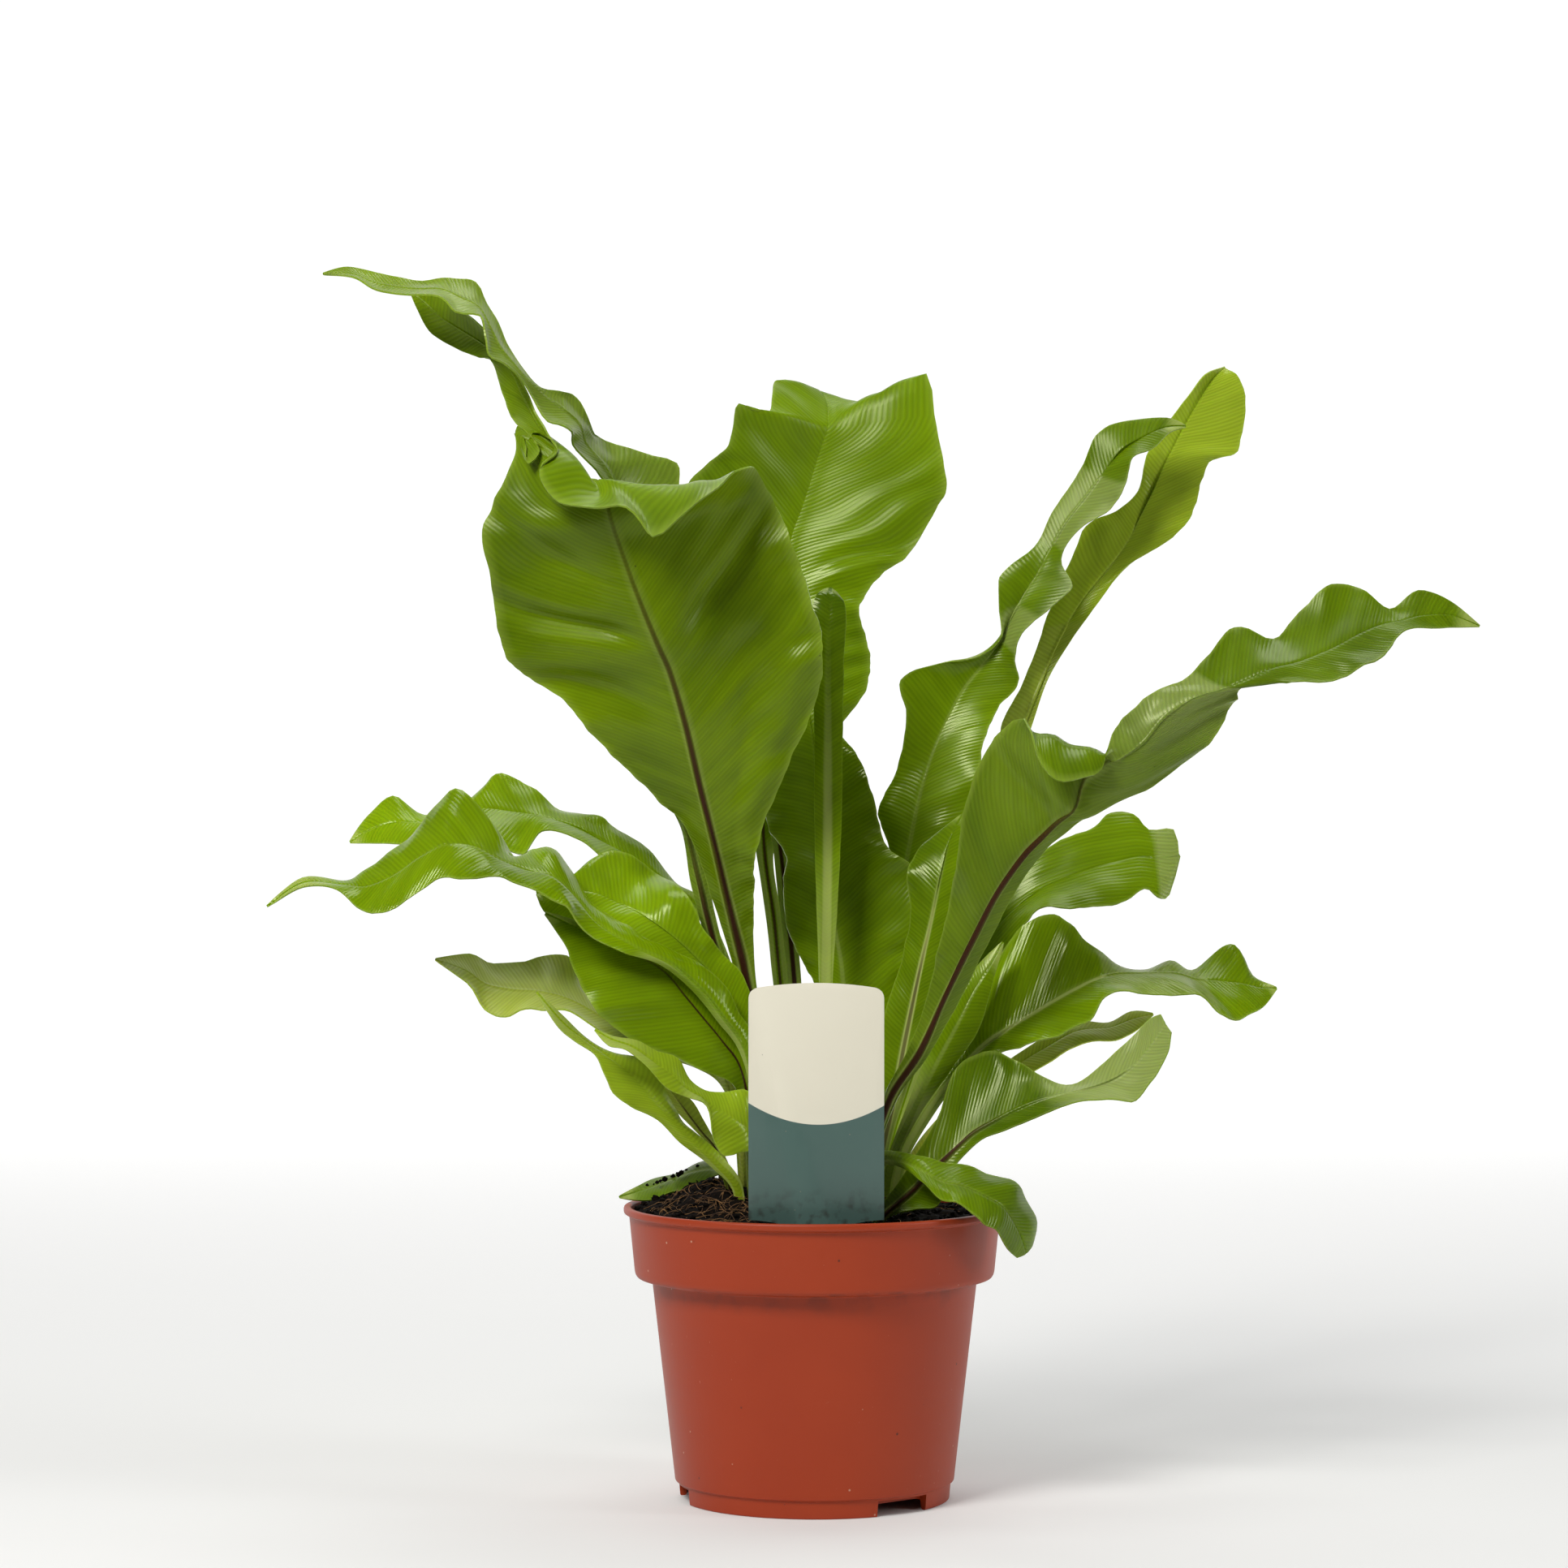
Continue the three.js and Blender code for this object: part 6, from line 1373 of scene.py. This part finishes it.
def printed_card_material(look):
    """Polystyrene sheet, die-cut and offset printed: semi-gloss cream above a teal field with a shallow
    curved top, with a few pale specks, and dark brown patches that darken the card towards its foot."""
    material, tree = new_material("printed_polystyrene")
    place = add_node(tree, "ShaderNodeTexCoord").outputs["Object"]
    x, _, z = add_node(tree, "ShaderNodeSeparateXYZ", {0: place}).outputs

    # The field's top edge is lowest 1.2 mm right of the axis, 171 mm high, and rises to both sides.
    middle = add_node(tree, "ShaderNodeMath", {0: x, 1: 0.00122}, operation="SUBTRACT").outputs[0]
    square = add_node(tree, "ShaderNodeMath", {0: middle, 1: middle}, operation="MULTIPLY").outputs[0]
    curve = add_node(
        tree, "ShaderNodeMath", {0: square, 1: 10.32, 2: 0.17103}, operation="MULTIPLY_ADD").outputs[0]
    above = add_node(tree, "ShaderNodeMath", {0: z, 1: curve}, operation="SUBTRACT").outputs[0]
    cream = add_node(tree, "ShaderNodeMapRange", {0: above, 1: -0.0001, 2: 0.0001}).outputs[0]
    cloud = add_node(tree, "ShaderNodeTexNoise", {"Vector": place, "Scale": 60.0, "Detail": 4.0}).outputs[0]
    # The card darkens in dark brown patches towards its foot, from 145 mm down.
    low = add_node(tree, "ShaderNodeMapRange", {0: z, 1: 0.13, 2: 0.145, 3: 1.0, 4: 0.0}).outputs[0]
    low_darkening = clouds(tree, place, 180.0, 4.0, 0.5, 0.7, 0.8)
    low_darkening = add_node(tree, "ShaderNodeMath", {0: low_darkening, 1: low}, operation="MULTIPLY").outputs[0]
    specks = round_specks(tree, place, 110.0, 0.02, 0.035, 0.6)
    colour = lay_colours(tree, linear(look.field), [
        (cloud, look.field_light), (cream, look.cream), (low_darkening, "#2A1A12"), (specks, "#8A8474")])
    matt = add_node(tree, "ShaderNodeMapRange", {0: cloud, 1: 0.3, 2: 0.7, 3: 0.32, 4: 0.42}).outputs[0]
    bump = add_node(tree, "ShaderNodeBump", {"Height": cloud, "Strength": 0.1, "Distance": 0.0003})
    body = add_node(
        tree, "ShaderNodeBsdfPrincipled",
        {"Base Color": colour, "Roughness": matt, "Normal": bump.outputs[0], "IOR": 1.5})
    add_node(tree, "ShaderNodeOutputMaterial", {"Surface": body.outputs[0]})
    return material


def lay_backdrop(settings):
    """A pale floor that curves up into a wall far behind the plant."""
    deselect_all()
    bpy.ops.mesh.primitive_grid_add(x_subdivisions=2, y_subdivisions=80, size=1)
    floor = bpy.context.object
    for vertex in floor.data.vertices:
        run = FLOOR_FRONT + FLOOR_RUN * (vertex.co.y + 0.5)
        bend = max(0.0, run - FLOOR_FLAT)
        vertex.co = Vector((vertex.co.x * FLOOR_WIDTH, run - bend * 0.5, bend ** 2 * 0.6))
    select_only(floor)
    bpy.ops.object.shade_smooth()
    floor.name = "studio_floor"
    material, tree = new_material("painted_backdrop")
    place = add_node(tree, "ShaderNodeTexCoord").outputs["Object"]
    cloud = add_node(tree, "ShaderNodeTexNoise", {"Vector": place, "Scale": 3.0}).outputs[0]
    matt = add_node(tree, "ShaderNodeMapRange", {0: cloud, 3: 0.8, 4: 0.9}).outputs[0]
    back = add_node(tree, "ShaderNodeSeparateXYZ", {0: place}).outputs[1]
    lit = add_node(
        tree, "ShaderNodeMapRange", {0: back, 1: 0.1, 2: 2.6, 3: 0.16, 4: settings.floor_glow}).outputs[0]
    # No light comes from the floor that the pot covers, so its notches stay dark.
    far = add_node(tree, "ShaderNodeVectorMath", {0: place}, operation="LENGTH").outputs[1]
    bare = add_node(tree, "ShaderNodeMapRange", {0: far, 1: 0.054, 2: 0.062}).outputs[0]
    lit = add_node(tree, "ShaderNodeMath", {0: lit, 1: bare}, operation="MULTIPLY").outputs[0]
    body = add_node(
        tree, "ShaderNodeBsdfPrincipled",
        {"Base Color": linear(settings.floor), "Roughness": matt, "Emission Color": linear("#FFFFFF"),
         "Emission Strength": lit})
    # Far behind, the floor and the wall only give light, and are white whatever falls on them.
    away = add_node(tree, "ShaderNodeMapRange", {0: back, 1: 2.0, 2: 2.6}).outputs[0]
    white = add_node(
        tree, "ShaderNodeEmission", {"Color": linear("#FFFFFF"), "Strength": settings.wall_glow})
    surface = add_node(tree, "ShaderNodeMixShader", {0: away, 1: body.outputs[0], 2: white.outputs[0]})
    add_node(tree, "ShaderNodeOutputMaterial", {"Surface": surface.outputs[0]})
    floor.data.materials.append(material)


def hang_lamp(name, place, aim, size, power, colour):
    """A soft rectangular lamp at its place, turned to its aim."""
    data = bpy.data.lights.new(name, "AREA")
    data.shape = "RECTANGLE"
    data.size, data.size_y = size
    data.energy = power
    data.color = colour
    lamp = bpy.data.objects.new(name, data)
    lamp.location = place
    lamp.rotation_euler = (Vector(aim) - Vector(place)).to_track_quat("-Z", "Y").to_euler()
    bpy.context.scene.collection.objects.link(lamp)


def place_camera():
    """The camera at the eye, level, looking along +Y."""
    data = bpy.data.cameras.new("camera")
    data.sensor_width = SENSOR_WIDTH
    data.lens = SENSOR_WIDTH / (2 * VIEW_HALF)
    data.clip_end = 40
    camera = bpy.data.objects.new("camera", data)
    camera.location = Vector(EYE) * MM
    camera.rotation_euler = (math.radians(90), 0, 0)
    bpy.context.scene.collection.objects.link(camera)
    bpy.context.scene.camera = camera


def colour_setting(name, description, code):
    """A colour of the sidebar, as "#" and six digits."""
    return bpy.props.StringProperty(name=name, description=description, default=code)


def length_setting(name, description, metres):
    """A length of the sidebar."""
    return bpy.props.FloatProperty(name=name, description=description, default=metres, unit="LENGTH")


class FernFrondSettings(bpy.types.PropertyGroup):
    """Sizes, fineness and colours of the fronds"""
    blade_thickness: length_setting("Blade thickness", "Thickness of the leaf blade", 0.0008)
    row_step: length_setting("Row step", "Distance between rows of faces along a frond", 0.0023)
    columns: bpy.props.IntProperty(
        name="Columns", description="Faces from the midrib to the margin", default=15, min=4, max=40)
    belly: bpy.props.FloatProperty(
        name="Belly", description="How far each half of the blade bulges, as a share of its width",
        default=0.06)
    rib_half_base: length_setting(
        "Midrib half width at the base", "Half the midrib's width where the frond starts", 0.0019)
    rib_half_tip: length_setting(
        "Midrib half width at the tip", "Half the midrib's width at the frond's tip", 0.0005)
    rib_depth_base: length_setting(
        "Midrib depth at the base", "How far the midrib stands out below", 0.0022)
    rib_depth_tip: length_setting(
        "Midrib depth at the tip", "How far the midrib stands out below at the tip", 0.0002)
    groove_depth: length_setting("Groove depth", "Depth of the groove over the midrib", 0.0002)
    pleat_depth: length_setting("Pleat depth", "Height of the soft folds along the veins", 0.0009)
    ruffle_depth: length_setting("Ruffle depth", "Height of the waves at the margin", 0.0011)
    margin_nibble: length_setting(
        "Margin unevenness", "How far the margin strays from a smooth line", 0.0004)
    vein_angle: bpy.props.FloatProperty(
        name="Vein angle", description="Angle between a vein and the midrib", default=math.radians(56),
        subtype="ANGLE")
    vein_spacing: length_setting("Vein spacing", "Distance between veins", 0.0019)
    upper_dark: colour_setting("Upper dark", "Darkest green above", "#425A03")
    upper_light: colour_setting("Upper light", "Lightest green above", "#7D9C03")
    lower_dark: colour_setting("Lower dark", "Darkest green below", "#476002")
    lower_light: colour_setting("Lower light", "Lightest green below", "#7D9804")
    # On the fronds so marked in FROND_LOOKS this grey is partly painted sheen.
    lower_grey: colour_setting("Lower grey", "Dull grey-green below", "#8A9A50")
    # On the fronds so marked in FROND_LOOKS this yellow-green is mixed in as painted light.
    young: colour_setting("Young", "Yellow-green of the palest fronds", "#B9C243")
    # The pale line along the margin is a painted highlight on the thin edge.
    margin: colour_setting("Margin", "Colour of the thin margin", "#A3B84E")
    rib_brown: colour_setting("Brown midrib", "Midrib below", "#361208")
    rib_pale: colour_setting("Pale midrib", "Midrib above", "#B4C06C")
    speck: colour_setting("Speck", "Colour of the few dark specks", "#2B2410")
    upper_roughness: bpy.props.FloatProperty(
        name="Upper roughness", description="Roughness of the upper side", default=0.21, subtype="FACTOR")
    lower_roughness: bpy.props.FloatProperty(
        name="Lower roughness", description="Roughness of the lower side", default=0.27, subtype="FACTOR")
    glow: bpy.props.FloatProperty(
        name="Glow", description="Share of light that goes through the blade", default=0.35,
        subtype="FACTOR")


class FernPotSettings(bpy.types.PropertyGroup):
    """Sizes and colours of the pot"""
    height: length_setting("Height", "Height of the pot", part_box("pot")[1].z)
    rim_radius: length_setting("Rim radius", "Radius over the lip", 0.085)
    foot_radius: length_setting("Foot radius", "Radius of the foot ring", 0.060)
    collar_height: length_setting("Collar height", "Height of the collar under the lip", 0.032)
    body: colour_setting("Body", "Plastic colour", "#9B320A")
    body_light: colour_setting("Body, lighter", "Plastic colour in patches", "#A1370F")
    # Painted highlight: this colour lightens the top of the rim as the light from above would.
    lip: colour_setting("Lip", "Worn colour on the lip", "#9C3511")


class FernPeatSettings(bpy.types.PropertyGroup):
    """What lies loose on the peat"""
    crumbs: bpy.props.IntProperty(
        name="Crumbs", description="Number of loose peat crumbs", default=2200, min=0, max=6000)
    frond_crumbs: bpy.props.IntProperty(
        name="Crumbs on a frond", description="Number of crumbs on the frond that rests on the peat",
        default=22, min=0, max=200)
    fibres: bpy.props.IntProperty(
        name="Fibres", description="Number of coir fibres tried", default=230, min=0, max=2000)


class FernLabelSettings(bpy.types.PropertyGroup):
    """Thickness and colours of the label card"""
    thickness: length_setting("Thickness", "Thickness of the card", 0.0008)
    cream: colour_setting("Cream", "Upper field", "#E0DBC8")
    field: colour_setting("Teal", "Lower field", "#48615B")
    field_light: colour_setting("Teal, lighter", "Lower field in patches", "#4E6861")


class FernStageSettings(bpy.types.PropertyGroup):
    """The floor, the wall behind it and the lamps"""
    floor: colour_setting("Floor", "Colour of the floor and wall", "#D2D2D0")
    floor_glow: bpy.props.FloatProperty(
        name="Floor glow", description="Light that the lit floor gives off", default=0.82)
    wall_glow: bpy.props.FloatProperty(
        name="Wall glow", description="Light that the white wall gives off", default=1.05)
    sky: bpy.props.FloatProperty(name="Surround", description="Strength of the pale surround", default=0.12)
    left_power: bpy.props.FloatProperty(
        name="Left lamp", description="Power of the soft lamp at the left", default=36, unit="POWER")
    right_power: bpy.props.FloatProperty(
        name="Right lamp", description="Power of the soft lamp at the right", default=7.5, unit="POWER")
    top_power: bpy.props.FloatProperty(
        name="Top lamp", description="Power of the soft lamp over the plant", default=5, unit="POWER")


class FERN_OT_grow_fronds(bpy.types.Operator):
    """Grow the fronds, each from its stations"""
    bl_idname = "fern.grow_fronds"
    bl_label = "Grow fronds"

    def execute(self, context):
        settings = context.scene.fern_fronds
        material = fern_leaf_material(settings)
        for name in FRONDS:
            grow_frond(name, settings, material)
        return {"FINISHED"}


class FERN_OT_mould_pot(bpy.types.Operator):
    """Mould the nursery pot"""
    bl_idname = "fern.mould_pot"
    bl_label = "Mould pot"

    def execute(self, context):
        settings = context.scene.fern_pot
        mould_pot(settings, moulded_plastic_material(settings))
        return {"FINISHED"}


class FERN_OT_fill_peat(bpy.types.Operator):
    """Fill the pot with peat, crumbs and coir fibres"""
    bl_idname = "fern.fill_peat"
    bl_label = "Fill with peat"

    def execute(self, context):
        settings = context.scene.fern_peat
        peat = peat_material()
        fill_peat(peat)
        scatter_crumbs(settings, peat)
        scatter_fibres(settings, fibre_material("coir_fibre", "#3B2616", "#8C663C"))
        return {"FINISHED"}


class FERN_OT_grow_crown(bpy.types.Operator):
    """Grow the rootstock and its scales"""
    bl_idname = "fern.grow_crown"
    bl_label = "Grow crown"

    def execute(self, context):
        grow_crown(fibre_material("rootstock_fibre", "#2A190F", "#553A24"))
        grow_scales(fibre_material("rootstock_scale", "#3A2416", "#7A5636"))
        return {"FINISHED"}


class FERN_OT_cut_label(bpy.types.Operator):
    """Cut the blank two-coloured label"""
    bl_idname = "fern.cut_label"
    bl_label = "Cut label"

    def execute(self, context):
        settings = context.scene.fern_label
        cut_label(settings, printed_card_material(settings))
        return {"FINISHED"}


class FERN_OT_set_stage(bpy.types.Operator):
    """Set the floor, lamps and camera"""
    bl_idname = "fern.set_stage"
    bl_label = "Set stage"

    def execute(self, context):
        settings = context.scene.fern_stage
        lay_backdrop(settings)
        lamps = {
            "left_lamp": ((-0.8, -1.3, 1.55), (0.66, 0.66), settings.left_power, (1, 0.99, 0.97)),
            "right_lamp": ((1.6, -0.6, 0.8), (0.4, 0.7), settings.right_power, (0.97, 0.99, 1)),
            "top_lamp": ((0.1, 0.2, 1.7), (0.6, 0.5), settings.top_power, (1, 1, 1)),
        }
        aim = (0, 0, 0.3)
        for name, (place, size, power, colour) in lamps.items():
            hang_lamp(name, place, aim, size, power, colour)
        world = bpy.data.worlds.new("studio")
        world.use_nodes = True
        tree = world.node_tree
        tree.nodes.clear()
        glow = add_node(
            tree, "ShaderNodeBackground", {"Color": linear("#FFFFFF"), "Strength": settings.sky})
        add_node(tree, "ShaderNodeOutputWorld", {"Surface": glow.outputs[0]})
        context.scene.world = world
        context.scene.view_settings.view_transform = "Standard"
        place_camera()
        return {"FINISHED"}


class FERN_PT_sidebar(bpy.types.Panel):
    """Fern tools"""
    bl_idname = "FERN_PT_sidebar"
    bl_label = "Potted fern"
    bl_space_type = "VIEW_3D"
    bl_region_type = "UI"
    bl_category = "Fern"

    def draw(self, context):
        for title, group, operators in PANEL_SECTIONS:
            box = self.layout.box()
            box.label(text=title)
            if group:
                for key in getattr(context.scene, group).__annotations__:
                    box.prop(getattr(context.scene, group), key)
            for operator in operators:
                box.operator(operator)


PANEL_SECTIONS = (
    ("Fronds", "fern_fronds", ("fern.grow_fronds",)),
    ("Pot", "fern_pot", ("fern.mould_pot",)),
    ("Peat", "fern_peat", ("fern.fill_peat",)),
    ("Crown", None, ("fern.grow_crown",)),
    ("Label", "fern_label", ("fern.cut_label",)),
    ("Stage", "fern_stage", ("fern.set_stage",)),
)

SETTINGS = {
    "fern_fronds": FernFrondSettings,
    "fern_pot": FernPotSettings,
    "fern_peat": FernPeatSettings,
    "fern_label": FernLabelSettings,
    "fern_stage": FernStageSettings,
}

OPERATORS = (
    FERN_OT_grow_fronds, FERN_OT_mould_pot, FERN_OT_fill_peat, FERN_OT_grow_crown, FERN_OT_cut_label,
    FERN_OT_set_stage,
)


def register():
    """Adds the settings, the operators and the sidebar."""
    for group in SETTINGS.values():
        bpy.utils.register_class(group)
    for operator in OPERATORS:
        bpy.utils.register_class(operator)
    bpy.utils.register_class(FERN_PT_sidebar)
    for key, group in SETTINGS.items():
        setattr(bpy.types.Scene, key, bpy.props.PointerProperty(type=group))


def unregister():
    """Takes them away again, in the reverse order."""
    for key in SETTINGS:
        delattr(bpy.types.Scene, key)
    bpy.utils.unregister_class(FERN_PT_sidebar)
    for operator in reversed(OPERATORS):
        bpy.utils.unregister_class(operator)
    for group in reversed(list(SETTINGS.values())):
        bpy.utils.unregister_class(group)


def main():
    """Builds the whole scene."""
    register()
    bpy.ops.fern.set_stage()
    bpy.ops.fern.mould_pot()
    bpy.ops.fern.fill_peat()
    bpy.ops.fern.grow_crown()
    bpy.ops.fern.cut_label()
    bpy.ops.fern.grow_fronds()


if __name__ == "__main__":
    main()
